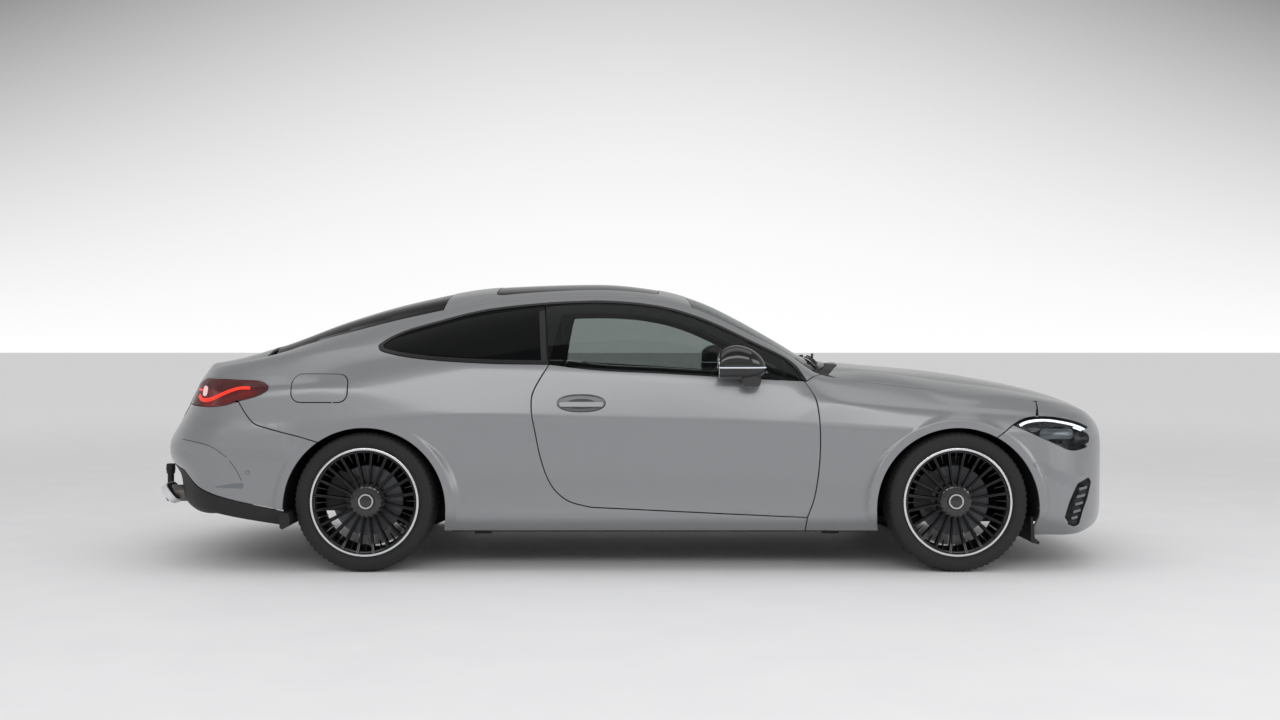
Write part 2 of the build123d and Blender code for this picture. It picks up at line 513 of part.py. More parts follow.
def knuckle(x, s, pin):
    """Upright, stub axle and brake caliper of one wheel."""
    body = block(x - 30, x + 30, s * (KINGPIN_Y - 25), s * (KINGPIN_Y + 16), HUB_Z - ARM_Z + pin, HUB_Z + ARM_Z - pin)
    body += across(x, HUB_Z, 36, s * (KINGPIN_Y - 30), s * (WHEEL_Y + HUB_FACE - SEAT))
    caliper = across(x, HUB_Z, 200, s * (DISC_IN - 26), s * (DISC_IN + DISC_THICK + 16))
    caliper -= across(x, HUB_Z, 112, 0, s * 1200)
    caliper &= Pos(x, s * DISC_IN, HUB_Z) * Rot(0, 20, 0) * Pos(-200, 0, 0) * Box(260, 200, 190)
    caliper -= across(x, HUB_Z, DISC_OD / 2 + 5, s * (DISC_IN - 5), s * (DISC_IN + DISC_THICK + 5))
    link = block(x - 130, x, s * (DISC_IN - 26), s * (DISC_IN - 8), HUB_Z - 26, HUB_Z + 26)
    return body + caliper + link


DISC_IN = WHEEL_Y + HUB_FACE - 8 - 22 - DISC_THICK
tower_y = FRONT_WELL_Y - 12
front_suspension = box_of(FRONT_X - 60, FRONT_X + 60, tower_y, FLOOR_Z + SEAT, 290)
for s in SIDES:
    tower = block(FRONT_X - 60, FRONT_X + 60, s * (tower_y - 44), s * tower_y, HUB_Z - ARM_Z - 26, HUB_Z + 230)
    front_suspension += [tower, axle_arms(FRONT_X, tower_y - 40, s)]
parts["front_suspension"] = front_suspension
rear_y = REAR_WELL_Y + 40
rear_axle = box_of(REAR_X - 100, REAR_X + 100, rear_y, 250, BOOT_Z - SEAT)
for s in SIDES:
    post = block(REAR_X - 60, REAR_X + 60, s * (rear_y - 32), s * rear_y, HUB_Z - ARM_Z - 26, HUB_Z + ARM_Z + 24)
    rear_axle += [post, axle_arms(REAR_X, rear_y - 30, s), knuckle(REAR_X, s, -PIN_GAP)]
parts["rear_axle"] = rear_axle
parts["knuckle_front_right"] = knuckle(FRONT_X, -1, 0)
parts["knuckle_front_left"] = knuckle(FRONT_X, 1, 0)

# ---------------------------------------------------------------- wheels
def ring_of(profile):
    """A body of revolution round Y, from its (y, radius) profile."""
    wire = Wire.make_polygon([Vector(0, y, radius) for y, radius in profile], close=True)
    return revolve(Face(wire), axis=Axis.Y)


seat_r, lip_r, rim_half = RIM_SEAT_OD / 2, RIM_FLANGE_OD / 2, RIM_WIDTH / 2
tyre_r, tyre_half, tread_half = TYRE_OD / 2, TYRE_WIDTH / 2, TREAD_WIDTH / 2
TYRE = [(-rim_half + 12, seat_r + SEAT), (-rim_half + 10, lip_r), (-tyre_half + 4, lip_r + 12), (-tyre_half, lip_r + 30),
        (-tyre_half + 6, tyre_r - 26), (-tread_half - 10, tyre_r - 6), (-tread_half, tyre_r)]
tyre = ring_of(TYRE + [(-y, radius) for y, radius in reversed(TYRE)])
rim = ring_of([(-rim_half, lip_r), (-rim_half, seat_r - RIM_WALL), (rim_half, seat_r - RIM_WALL), (rim_half, lip_r),
               (rim_half - 8, lip_r), (rim_half - 10, seat_r), (-rim_half + 10, seat_r), (-rim_half + 8, lip_r)])
rim += across(0, 0, HUB_OD / 2, HUB_FACE, HUB_FACE + 28)
spokes = []
for i in range(SPOKE_PAIRS):
    for turn in (-SPOKE_SPREAD, SPOKE_SPREAD):
        bar = Wire.make_polygon([Vector(HUB_OD / 2 - 12, HUB_FACE + 28, 0), Vector(seat_r - 4, rim_half - 4, 0),
                                 Vector(seat_r - 4, rim_half - 4 - SPOKE_DEPTH, 0), Vector(HUB_OD / 2 - 12, HUB_FACE + 2, 0)],
                                close=True)
        solid = extrude(Face(bar), amount=SPOKE_WIDTH / 2, dir=(0, 0, 1), both=True)
        spokes.append(Rot(0, i * 360 / SPOKE_PAIRS + turn, 0) * solid)
rim += spokes
disc = ring_of([(DISC_IN - WHEEL_Y, 88), (DISC_IN - WHEEL_Y, DISC_OD / 2), (DISC_IN - WHEEL_Y + DISC_THICK, DISC_OD / 2),
                (DISC_IN - WHEEL_Y + DISC_THICK, 88), (HUB_FACE, 88), (HUB_FACE, 40), (HUB_FACE - 8, 40), (HUB_FACE - 8, 80),
                (DISC_IN - WHEEL_Y, 80)])
wheel = rim + disc
for end, x in (("front", FRONT_X), ("rear", REAR_X)):
    for side, s in (("left", 1), ("right", -1)):
        place = Pos(x, s * WHEEL_Y, HUB_Z) * (Rot(0, 0, 0) if s > 0 else Rot(0, 0, 180))
        parts[f"tyre_{end}_{side}"] = place * tyre
        parts[f"wheel_{end}_{side}"] = place * wheel

# ---------------------------------------------------------------- wipers
def skin_z(x, y):
    """Height of the outer skin between the roof rails, at a place in plan."""
    half, top = HALF - at(RAIL, x), ROOF_HEIGHT - at(TOP_DROP, x)
    return top - (top - rail_z(x)) * (y / half) ** 2


wipers = []
for x, y0, y1 in ((FRONT_X - 620, -600, -60), (FRONT_X - 620, 30, 560)):
    stations = [y0 + i * (y1 - y0) / 6 for i in range(7)]
    foot = [(y, skin_z(x - 10, y) + 0.6) for y in stations]
    back = [(y, z + 14) for y, z in reversed(foot)]
    wire = Wire.make_polygon([Vector(x, y, z) for y, z in foot + back], close=True)
    wipers.append(extrude(Face(wire), amount=10, dir=(-1, 0, 0)))
parts["wipers"] = Compound(children=wipers)

os.makedirs("parts", exist_ok=True)
for name, solid in parts.items():
    export_step(solid, f"parts/{name}.step")
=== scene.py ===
import json
import math

import bmesh
import bpy
import numpy as np
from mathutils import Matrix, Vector
from mathutils.geometry import delaunay_2d_cdt


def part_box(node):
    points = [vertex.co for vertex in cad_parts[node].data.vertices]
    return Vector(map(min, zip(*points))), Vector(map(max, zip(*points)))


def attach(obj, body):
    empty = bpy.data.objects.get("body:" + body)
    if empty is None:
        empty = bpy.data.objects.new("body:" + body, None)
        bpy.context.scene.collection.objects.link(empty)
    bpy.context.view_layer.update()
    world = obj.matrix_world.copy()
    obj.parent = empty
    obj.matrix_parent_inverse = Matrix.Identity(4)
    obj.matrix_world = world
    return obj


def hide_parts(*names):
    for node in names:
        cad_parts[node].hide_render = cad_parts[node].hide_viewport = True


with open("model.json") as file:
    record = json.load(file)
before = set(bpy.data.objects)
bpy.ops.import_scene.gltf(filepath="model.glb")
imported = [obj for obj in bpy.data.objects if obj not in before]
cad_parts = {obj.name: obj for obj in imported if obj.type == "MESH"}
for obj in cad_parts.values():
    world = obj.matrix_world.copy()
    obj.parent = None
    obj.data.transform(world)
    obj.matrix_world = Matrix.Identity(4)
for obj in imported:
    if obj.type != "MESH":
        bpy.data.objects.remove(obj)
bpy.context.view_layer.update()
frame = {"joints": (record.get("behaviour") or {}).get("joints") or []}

# ---------------- body form
# The pressed steel and aluminium skin of the coupe: a low bonnet, a tumblehome cabin and
# a short deck. It is one smooth closed form, made as a soft maximum of the flanks, the
# roof and bonnet line, the sills and the underside, and every panel is cut from it. Places
# and outlines are in metres; widths, depths, steps and radii passed to functions are in mm.
MM = 0.001
joint_at = {j["name"]: np.array(j["pos_m"]) for j in frame["joints"]}
FRONT, REAR = joint_at["roll_front_right"][0], joint_at["roll_rear_right"][0]
HUB_Z = joint_at["roll_front_right"][2]
WHEEL_Y = abs(joint_at["roll_front_right"][1])
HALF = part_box("body_shell")[1].y
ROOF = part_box("roof_glass")[1].z
NOSE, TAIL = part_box("front_bumper")[1].x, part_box("rear_bumper")[0].x

# Columns: place from the axle, underside, inset at skirt, middle and crease, crease height,
# inset and height of the upper crease and of the waist, inset of the rail, drop of the rail
# and of the centre line below the roof's top, all in millimetres.
(PLACE, UNDER, SKIRT, MID, CREASE, CREASE_Z, UPPER, UPPER_Z, WAIST, WAIST_Z, RAIL, RAIL_DROP,
 TOP_DROP) = range(13)
FRONT_ROWS = [
    (900, 225, 70, 70, 60, 560, 90, 640, 200, 668, 420, 735, 722),
    (760, 165, 45, 45, 30, 615, 65, 700, 150, 742, 370, 660, 638),
    (420, 150, 28, 25, 14, 668, 48, 762, 118, 800, 330, 572, 536),
    (0, 150, 16, 14, 6, 684, 42, 788, 115, 836, 330, 518, 468),
    (-440, 160, 22, 30, 12, 690, 40, 818, 108, 875, 330, 464, 428),
    (-640, 184, 24, 40, 14, 702, 40, 830, 90, 902, 235, 466, 404),
    (-780, 184, 24, 42, 14, 710, 38, 836, 60, 914, 170, 392, 324),
    (-995, 184, 24, 44, 13, 722, 36, 846, 56, 928, 240, 275, 200),
    (-1225, 184, 24, 45, 12, 735, 34, 855, 52, 941, 290, 167, 89),
    (-1430, 184, 24, 46, 10, 742, 32, 860, 50, 953, 318, 107, 32),
    (-1750, 184, 24, 46, 8, 752, 31, 868, 50, 969, 335, 80, 0),
]
REAR_ROWS = [
    (575, 184, 24, 44, 5, 764, 30, 882, 54, 995, 335, 115, 17),
    (130, 184, 20, 20, 0, 740, 26, 895, 62, 1010, 330, 190, 95),
    (-220, 184, 18, 12, 2, 705, 26, 905, 90, 1004, 310, 275, 197),
    (-520, 210, 22, 18, 8, 690, 36, 908, 135, 985, 280, 368, 316),
    (-850, 250, 38, 32, 30, 670, 66, 885, 170, 950, 290, 428, 415),
    (-1140, 285, 60, 52, 55, 650, 90, 860, 200, 930, 300, 450, 440),
]
SKIRT_Z, MIDDLE_Z = 255 * MM, 440 * MM
rows = np.array([(FRONT / MM + r[0],) + r[1:] for r in FRONT_ROWS]
                + [(REAR / MM + r[0],) + r[1:] for r in REAR_ROWS])[::-1] * MM


def monotone_curve(x, y, at):
    """Cubic Hermite curve through the points (x, y), read at the places given. Each slope is the
    weighted harmonic mean of its neighbours, or zero at a peak, so the curve never overshoots."""
    step, slope = np.diff(x), np.diff(y) / np.diff(x)
    same = slope[:-1] * slope[1:] > 0
    before, after = 2 * step[1:] + step[:-1], step[1:] + 2 * step[:-1]
    s0, s1 = np.where(same, slope[:-1], 1), np.where(same, slope[1:], 1)
    mean = np.where(same, (before + after) / (before / s0 + after / s1), 0)
    tangent = np.concatenate(([slope[0]], mean, [slope[-1]]))
    i = np.clip(np.searchsorted(x, at) - 1, 0, len(step) - 1)
    t, h = (at - x[i]) / step[i], step[i]
    return ((2 * t**3 - 3 * t**2 + 1) * y[i] + (t**3 - 2 * t**2 + t) * h * tangent[i]
            + (3 * t**2 - 2 * t**3) * y[i + 1] + (t**3 - t**2) * h * tangent[i + 1])


STATION_STEP, FAIRING = 5 * MM, 9
stations = np.arange(rows[0, 0], rows[-1, 0], STATION_STEP)
blur = np.exp(-0.5 * (np.arange(-3 * FAIRING, 3 * FAIRING + 1) / FAIRING) ** 2)
blur /= blur.sum()
faired = [np.convolve(np.pad(monotone_curve(rows[:, 0], rows[:, c], stations), 3 * FAIRING,
                             mode="reflect", reflect_type="odd"), blur, mode="valid")
          for c in range(TOP_DROP + 1)]


def key(column, x):
    """A column of the section table at place x, faired along the car by a Gaussian mean."""
    return np.interp(x, stations, faired[column])


def soft_max(a, b, radius):
    """The larger of two values, plus radius / 4 times the square of how nearly they are equal."""
    near = np.maximum(radius - np.abs(a - b), 0) / radius
    return np.maximum(a, b) + near * near * radius / 4


def soft_min(a, b, radius):
    """The smaller of two values, rounded in the same way."""
    return -soft_max(-a, -b, radius)


# How far nose and tail fall back by height, as (height, fall), and the superellipse that
# rounds them in plan.
END_LENGTH, END_POWER = 450 * MM, 2.4
TAIL_START, NOSE_START = TAIL + END_LENGTH, NOSE - END_LENGTH
NOSE_BACK = np.array([(130, 320), (145, 170), (170, 70), (200, 22), (240, 4), (300, 0), (580, 0),
                      (650, 6), (700, 22), (760, 60), (860, 150)]) * MM
TAIL_BACK = np.array([(225, 330), (255, 185), (285, 118), (320, 82), (450, 64), (490, 34), (520, 8),
                      (560, 0), (610, 6), (665, 40), (748, 91), (836, 133), (925, 169), (1002, 206),
                      (1060, 225)]) * MM
LEVEL_STEP, LEVEL_TOP = 2 * MM, 1600 * MM
heights = np.arange(0, LEVEL_TOP, LEVEL_STEP)
nose_back = np.convolve(np.interp(heights, *NOSE_BACK.T), blur, mode="same")
tail_back = np.convolve(np.interp(heights, *TAIL_BACK.T), blur, mode="same")
ARCH_RADIUS, ARCH_Z = 390 * MM, HUB_Z - 32 * MM
ARCH_BAND, ARCH_INSET, ARCH_FALL, ARCH_SOFT = 40 * MM, 9 * MM, 0.9, 10 * MM
CREASE_RADIUS, UPPER_RADIUS = 7 * MM, 14 * MM

# Ridges from the arches to the car's ends, as (ahead of the axle, height), and where they
# fade in and out, as (ahead of the axle, share).
TAIL_RIDGE = np.array([(-905, 650), (-800, 618), (-708, 608), (-574, 599), (-415, 588), (-340, 610),
                       (-300, 650)]) * MM
NOSE_RIDGE = np.array([(340, 600), (365, 572), (453, 506), (555, 466), (640, 452)]) * MM
TAIL_FADE, NOSE_FADE = ((-0.39, -0.31), (1, 0)), ((0.35, 0.43, 0.58, 0.66), (0, 1, 1, 0))
RIDGE, RIDGE_ABOVE, RIDGE_BELOW = 19 * MM, 130 * MM, 62 * MM


def ridge(x, z):
    """How far the ridge stands out of the side: a tent over its line, straight down to nothing
    RIDGE_ABOVE over it and RIDGE_BELOW under it."""
    behind, ahead = x - REAR, x - FRONT
    away = z - np.where(x < 0, np.interp(behind, *TAIL_RIDGE.T), np.interp(ahead, *NOSE_RIDGE.T))
    share = np.where(x < 0, np.interp(behind, *TAIL_FADE), np.interp(ahead, *NOSE_FADE))
    return RIDGE * share * np.maximum(1 - np.where(away > 0, away / RIDGE_ABOVE, -away / RIDGE_BELOW), 0)


def flank(x, z):
    """Half width of the car's side at a place and height: a parabola through skirt, middle and
    crease, two flats above it, and a flat band round each wheel arch that stands proud of them."""
    xs = np.clip(x, TAIL_START, NOSE_START)
    skirt, middle, crease = HALF - key(SKIRT, xs), HALF - key(MID, xs), HALF - key(CREASE, xs)
    crease_z, upper, upper_z = key(CREASE_Z, xs), HALF - key(UPPER, xs), key(UPPER_Z, xs)
    waist, waist_z = HALF - key(WAIST, xs), key(WAIST_Z, xs)
    rise = (middle - skirt) / (MIDDLE_Z - SKIRT_Z)
    bend = ((crease - middle) / (crease_z - MIDDLE_Z) - rise) / (crease_z - SKIRT_Z)
    lower = skirt + (z - SKIRT_Z) * (rise + bend * (z - MIDDLE_Z))
    flat = crease + (z - crease_z) * (upper - crease) / (upper_z - crease_z)
    high = upper + (z - upper_z) * (waist - upper) / (waist_z - upper_z)
    side = soft_min(lower, soft_min(flat, high, UPPER_RADIUS), CREASE_RADIUS) + ridge(x, z)
    for axle in (FRONT, REAR):
        out = np.hypot(x - axle, z - ARCH_Z) - ARCH_RADIUS
        band = HALF - ARCH_INSET - ARCH_FALL * np.maximum(out - ARCH_BAND, 0)
        side = soft_max(side, band, ARCH_SOFT)
    return side


# Rounding radii in millimetres by place along the car: between cabin side and roof, and
# between the flanks and what stands on them. The side glass bulges by the last.
ROOF_ROUND = ((REAR - 0.9, 40), (REAR - 0.3, 90), (REAR + 0.5, 110), (FRONT - 1.2, 90),
              (FRONT - 0.7, 30), (FRONT, 26))
WAIST_ROUND = ((TAIL + 0.28, 18), (TAIL + 0.45, 60), (REAR + 0.1, 60), (REAR + 0.5, 16),
               (FRONT - 0.8, 14), (FRONT - 0.5, 50), (NOSE - 0.3, 60))
GLASS_BULGE = ((REAR, 14), (FRONT, 8))
SILL_ROUND, UNDER_ROUND = 24 * MM, 20 * MM


def rounding(x, pairs):
    """A radius that changes along the car, straight between pairs of place and radius."""
    places, radii = zip(*pairs)
    return np.interp(x, places, np.array(radii) * MM)


def body(x, y, z):
    """How far a point lies outside the body form: negative inside, zero on the skin. The flanks are
    a superellipse in plan, the roof a parabola across, and the cabin side an arc from waist to rail."""
    y = np.abs(y)
    wide = flank(x, z)
    nose, tail = np.interp(z, heights, nose_back), np.interp(z, heights, tail_back)
    nose_length, tail_length = END_LENGTH - 0.5 * nose, END_LENGTH - 0.5 * tail
    ahead = np.maximum(x - (NOSE - nose - nose_length), 0) / nose_length
    behind = np.maximum((TAIL + tail + tail_length) - x, 0) / tail_length
    length, end = np.where(ahead > 0, nose_length, tail_length), ahead + behind
    across = y / wide
    ring = np.maximum((across**END_POWER + end**END_POWER) ** (1 / END_POWER), 0.2)
    slope = ring ** (1 - END_POWER) * np.hypot(end ** (END_POWER - 1) / length,
                                               across ** (END_POWER - 1) / wide)
    shell = (ring - 1) / np.maximum(slope, 0.3)
    waist, waist_z = HALF - key(WAIST, x), key(WAIST_Z, x)
    rail, rail_z, top_z = HALF - key(RAIL, x), ROOF - key(RAIL_DROP, x), ROOF - key(TOP_DROP, x)
    reach = np.hypot(rail - waist, rail_z - waist_z)
    ty, tz = (rail - waist) / reach, (rail_z - waist_z) / reach
    part = np.clip(((y - waist) * ty + (z - waist_z) * tz) / reach, -0.3, 1.3)
    bulge = rounding(x, GLASS_BULGE) * 4 * part * (1 - part)
    glass = (y - waist) * tz - (z - waist_z) * ty - bulge
    drop = (top_z - rail_z) / rail**2
    roof = (z - top_z + drop * y * y) / np.hypot(1, 2 * drop * y)
    top = soft_max(glass, roof, rounding(x, ROOF_ROUND))
    skirt = HALF - key(SKIRT, np.clip(x, TAIL_START, NOSE_START))
    sill = ((y - skirt) - (z - SKIRT_Z)) / math.sqrt(2)
    out = soft_max(shell, top, rounding(x, WAIST_ROUND))
    return soft_max(soft_max(out, sill, SILL_ROUND), key(UNDER, x) - z, UNDER_ROUND)


HALVINGS = 24


def on_ray(start, way, near, far):
    """Where rays meet the skin, between near (inside) and far (outside) along them, by halving."""
    low, high = np.full(len(start), near), np.full(len(start), far)
    for _ in range(HALVINGS):
        middle = (low + high) / 2
        outside = body(*(start + way * middle[:, None]).T) > 0
        low, high = np.where(outside, low, middle), np.where(outside, middle, high)
    return start + way * ((low + high) / 2)[:, None]


def normals_at(points, reach=1.5 * MM):
    """Outward unit normals of the form: the sum over four corners round each point of the form's
    value there times the way to that corner."""
    corners = np.array([(1, -1, -1), (-1, -1, 1), (-1, 1, -1), (1, 1, 1)])
    total = sum(body(*(points + corner * reach).T)[:, None] * corner for corner in corners)
    return total / np.linalg.norm(total, axis=1, keepdims=True)


# ---------------- panel lines
# Shut lines are drawn on two maps of the skin. The side map unrolls the car from nose to
# tail round its flanks, with rows that follow the creases, and the plan map looks down.
SPINE_Z, REACH = 560 * MM, 900 * MM
WALL_FOOT, WALL_MORE = 100 * MM, 2000 * MM
ROW_HEIGHTS = np.array([100, 255, 440, 720, 860, 960, 2960]) * MM


def spread(x, y, z):
    """Height on an upright wall that a ray from the spine meets behind a point of the skin."""
    return SPINE_Z + (z - SPINE_Z) * REACH / np.maximum(np.abs(y), 0.05)


def row_table(x):
    """Heights on that wall of the rows of the side map, for places x."""
    xs = np.clip(x, TAIL_START, NOSE_START)
    crease, upper, waist = (spread(xs, HALF - key(inset, xs), key(level, xs)) for inset, level in
                            ((CREASE, CREASE_Z), (UPPER, UPPER_Z), (WAIST, WAIST_Z)))
    one = np.ones_like(xs)
    return np.stack([WALL_FOOT * one, SKIRT_Z * one, MIDDLE_Z * one, crease, upper, waist,
                     waist + WALL_MORE], axis=1)


def between(value, knots, results):
    """Straight interpolation of value between knots, with knots and results in rows of their own."""
    i = np.clip((value[:, None] > knots).sum(1) - 1, 0, knots.shape[1] - 2)
    n = np.arange(len(value))
    share = (value - knots[n, i]) / (knots[n, i + 1] - knots[n, i])
    return results[n, i] + share * (results[n, i + 1] - results[n, i])


def side_rays(points):
    """Rays of the side map: along the flank u is the place, and past its ends u turns round the spine."""
    u, v = points.T
    half_turn = math.pi * REACH
    x = np.clip(u, TAIL_START, NOSE_START)
    turn = np.clip((u - x) / REACH, -math.pi, math.pi)
    x = x - np.maximum(u - NOSE_START - half_turn, 0) + np.maximum(TAIL_START - half_turn - u, 0)
    wall = between(v, np.broadcast_to(ROW_HEIGHTS, (len(v), len(ROW_HEIGHTS))), row_table(x))
    way = np.stack([np.sin(turn) * REACH, -np.cos(turn) * REACH, wall - SPINE_Z], axis=1)
    return np.stack([x, np.zeros_like(x), np.full_like(x, SPINE_Z)], axis=1), way, 0.3, 1.35


PLAN_FLOOR = 450 * MM


def plan_rays(points):
    """Rays of the plan map: straight up from inside the car."""
    x, y = points.T
    return (np.stack([x, y, np.full_like(x, PLAN_FLOOR)], axis=1),
            np.broadcast_to([0.0, 0, 1], (len(x), 3)), 0.0, 1.2)


def lift(points, rays):
    """Points of a map, on the skin."""
    return on_ray(*rays(np.asarray(points, float)))


def unroll(points):
    """Points of the skin's right-hand side, on the side map."""
    x, y, z = points.T
    xs = np.clip(x, TAIL_START, NOSE_START)
    turn = np.arctan2(x - xs, np.abs(y))
    wall = SPINE_Z + (z - SPINE_Z) * REACH / np.hypot(x - xs, y)
    table = row_table(xs)
    return np.stack([xs + turn * REACH, between(wall, table, np.broadcast_to(ROW_HEIGHTS, table.shape))],
                    axis=1)


def curve(points, step=9):
    """A smooth line through points (Catmull-Rom, centripetal), with points a step apart."""
    p = np.asarray(points, float)
    p = np.vstack([2 * p[0] - p[1], p, 2 * p[-1] - p[-2]])
    out = []
    for a, b, c, d in zip(p, p[1:], p[2:], p[3:]):
        t1 = np.linalg.norm(b - a) ** 0.5
        t2 = t1 + np.linalg.norm(c - b) ** 0.5
        t3 = t2 + np.linalg.norm(d - c) ** 0.5
        t = np.linspace(t1, t2, max(2, int(np.linalg.norm(c - b) / (step * MM)) + 1), endpoint=False)[:, None]
        ab, bc, cd = (a + (b - a) * t / t1, b + (c - b) * (t - t1) / (t2 - t1),
                      c + (d - c) * (t - t2) / (t3 - t2))
        low, high = ab + (bc - ab) * t / t2, bc + (cd - bc) * (t - t1) / (t3 - t1)
        out.append(low + (high - low) * (t - t1) / (t2 - t1))
    return np.vstack(out + [p[-2:-1]])


def straight(points, step=9):
    """A broken line through points, with points a step apart."""
    p = np.asarray(points, float)
    out = []
    for a, b in zip(p, p[1:]):
        count = max(2, int(np.linalg.norm(b - a) / (step * MM)) + 1)
        out.append(a + (b - a) * np.linspace(0, 1, count, endpoint=False)[:, None])
    return np.vstack(out + [p[-1:]])


def arc(cx, cz, radius, start, end):
    """Points on a circle, from one angle to another in degrees."""
    a = np.radians(np.linspace(start, end, max(4, int(abs(end - start) * radius / 0.5) + 2)))
    return np.stack([cx + radius * np.cos(a), cz + radius * np.sin(a)], axis=1)


def seen_along(axis, way, column, near, far):
    """A function that puts view points on the skin by level rays from inside the car: across it for
    points (x, z), or along it from a column for points (y, z) of the right-hand side."""
    def project(points):
        first, z = np.asarray(points, float).T
        same = np.full(len(z), column)
        start = np.stack([first, same, z] if axis == 1 else [same, -first, z], axis=1)
        return on_ray(start, np.broadcast_to(np.eye(3)[axis] * way, (len(z), 3)), near, far)
    return project


side_points = seen_along(1, -1, 0.0, 0.05, 1.1)
nose_points = seen_along(0, 1, NOSE_START, 0.0, 0.6)
tail_points = seen_along(0, -1, TAIL_START, 0.0, 0.6)


def side_line(points):
    """A side-view line (x, z), on the side map."""
    return unroll(side_points(points))


def plan_line(points):
    """A plan-view line (x, y) of the right-hand side, on the side map."""
    return unroll(lift(np.asarray(points, float) * [1, -1], plan_rays))


def closed(*runs, soft=5, step=9):
    """A closed outline from runs of points, evenly spaced, with corners rounded by a running mean."""
    p = np.vstack(runs + (runs[0][:1],))
    p = p[np.concatenate(([True], np.linalg.norm(np.diff(p, axis=0), axis=1) > 1e-5))]
    along = np.concatenate(([0], np.cumsum(np.linalg.norm(np.diff(p, axis=0), axis=1))))
    fine = 1.5
    at = np.linspace(0, along[-1], max(8, int(along[-1] / (fine * MM))), endpoint=False)
    p = np.stack([np.interp(at, along, p[:, i]) for i in (0, 1)], axis=1)
    if soft:
        width = max(1, int(soft / fine))
        weights = np.hanning(2 * width + 3)[1:-1]
        weights /= weights.sum()
        p = np.stack([np.convolve(np.pad(p[:, i], width, mode="wrap"), weights, mode="valid")
                      for i in (0, 1)], axis=1)
    return p[:: max(1, round(step / fine))]


def around_end(start_x, way_x, turns, turn_knots, level_knots):
    """Points of the skin round one end of the car, by angle from the side, with heights straight
    between knots."""
    turn, level = np.radians(turns), np.interp(turns, turn_knots, level_knots)
    way = np.stack([way_x * np.sin(turn), -np.cos(turn), np.zeros_like(turn)], axis=1)
    start = np.stack([np.full(len(turn), start_x), np.zeros(len(turn)), level], axis=1)
    return unroll(on_ray(start, way, 0.1, 1.2))


NOSE_CENTRE, TAIL_CENTRE = NOSE_START + REACH * math.pi / 2, TAIL_START - REACH * math.pi / 2


def other_side(line, centre):
    """The left-hand twin of a side-map line round the nose's or tail's centre line."""
    return line[::-1] * [-1, 1] + [2 * centre, 0]


def across_centre(half, centre):
    """A side-map outline from its right half, mirrored over the nose's or tail's centre line."""
    return closed(half, other_side(half, centre))


def front(*pairs):
    """Points given in millimetres: ahead of the front axle, and up or out from the middle."""
    return np.array([(FRONT + x * MM, z * MM) for x, z in pairs])


def rear(*pairs):
    """Points given in millimetres: ahead of the rear axle, and up or out from the middle."""
    return np.array([(REAR + x * MM, z * MM) for x, z in pairs])


def inside(points, loop):
    """Which points lie inside a closed loop: a ray from each crosses the loop an odd number of times."""
    a, b = loop, np.roll(loop, -1, axis=0)
    x, y = points[:, :1], points[:, 1:]
    crosses = (a[:, 1] > y) != (b[:, 1] > y)
    fall = np.where(b[:, 1] == a[:, 1], 1, b[:, 1] - a[:, 1])
    at = a[:, 0] + (y - a[:, 1]) * (b[:, 0] - a[:, 0]) / fall
    return ((crosses & (x < at)).sum(1) % 2).astype(bool)


def clearance(points, loop):
    """Distance from points to a closed loop."""
    a, way = loop, np.roll(loop, -1, axis=0) - loop
    rel = points[:, None] - a
    t = np.clip((rel * way).sum(2) / np.maximum((way * way).sum(1), 1e-12), 0, 1)
    return np.sqrt(((rel - way * t[..., None]) ** 2).sum(2).min(1))


def in_chunks(test, points, size):
    """A test of points, made on a part of them at a time to save memory."""
    return np.concatenate([test(chunk) for chunk in np.array_split(points, len(points) // size + 1)])


def area(loop):
    """Signed area of a closed loop."""
    x, y = loop.T
    return 0.5 * np.sum(x * np.roll(y, -1) - np.roll(x, -1) * y)


EDGE_ROOM, POINT_ROOM = 9 * MM, 7 * MM
EXTRA_ROWS = np.concatenate([ROW_HEIGHTS[3] + np.array([-12, -5, 0, 5, 12]) * MM,
                             ROW_HEIGHTS[4] + np.array([-9, 0, 9]) * MM])


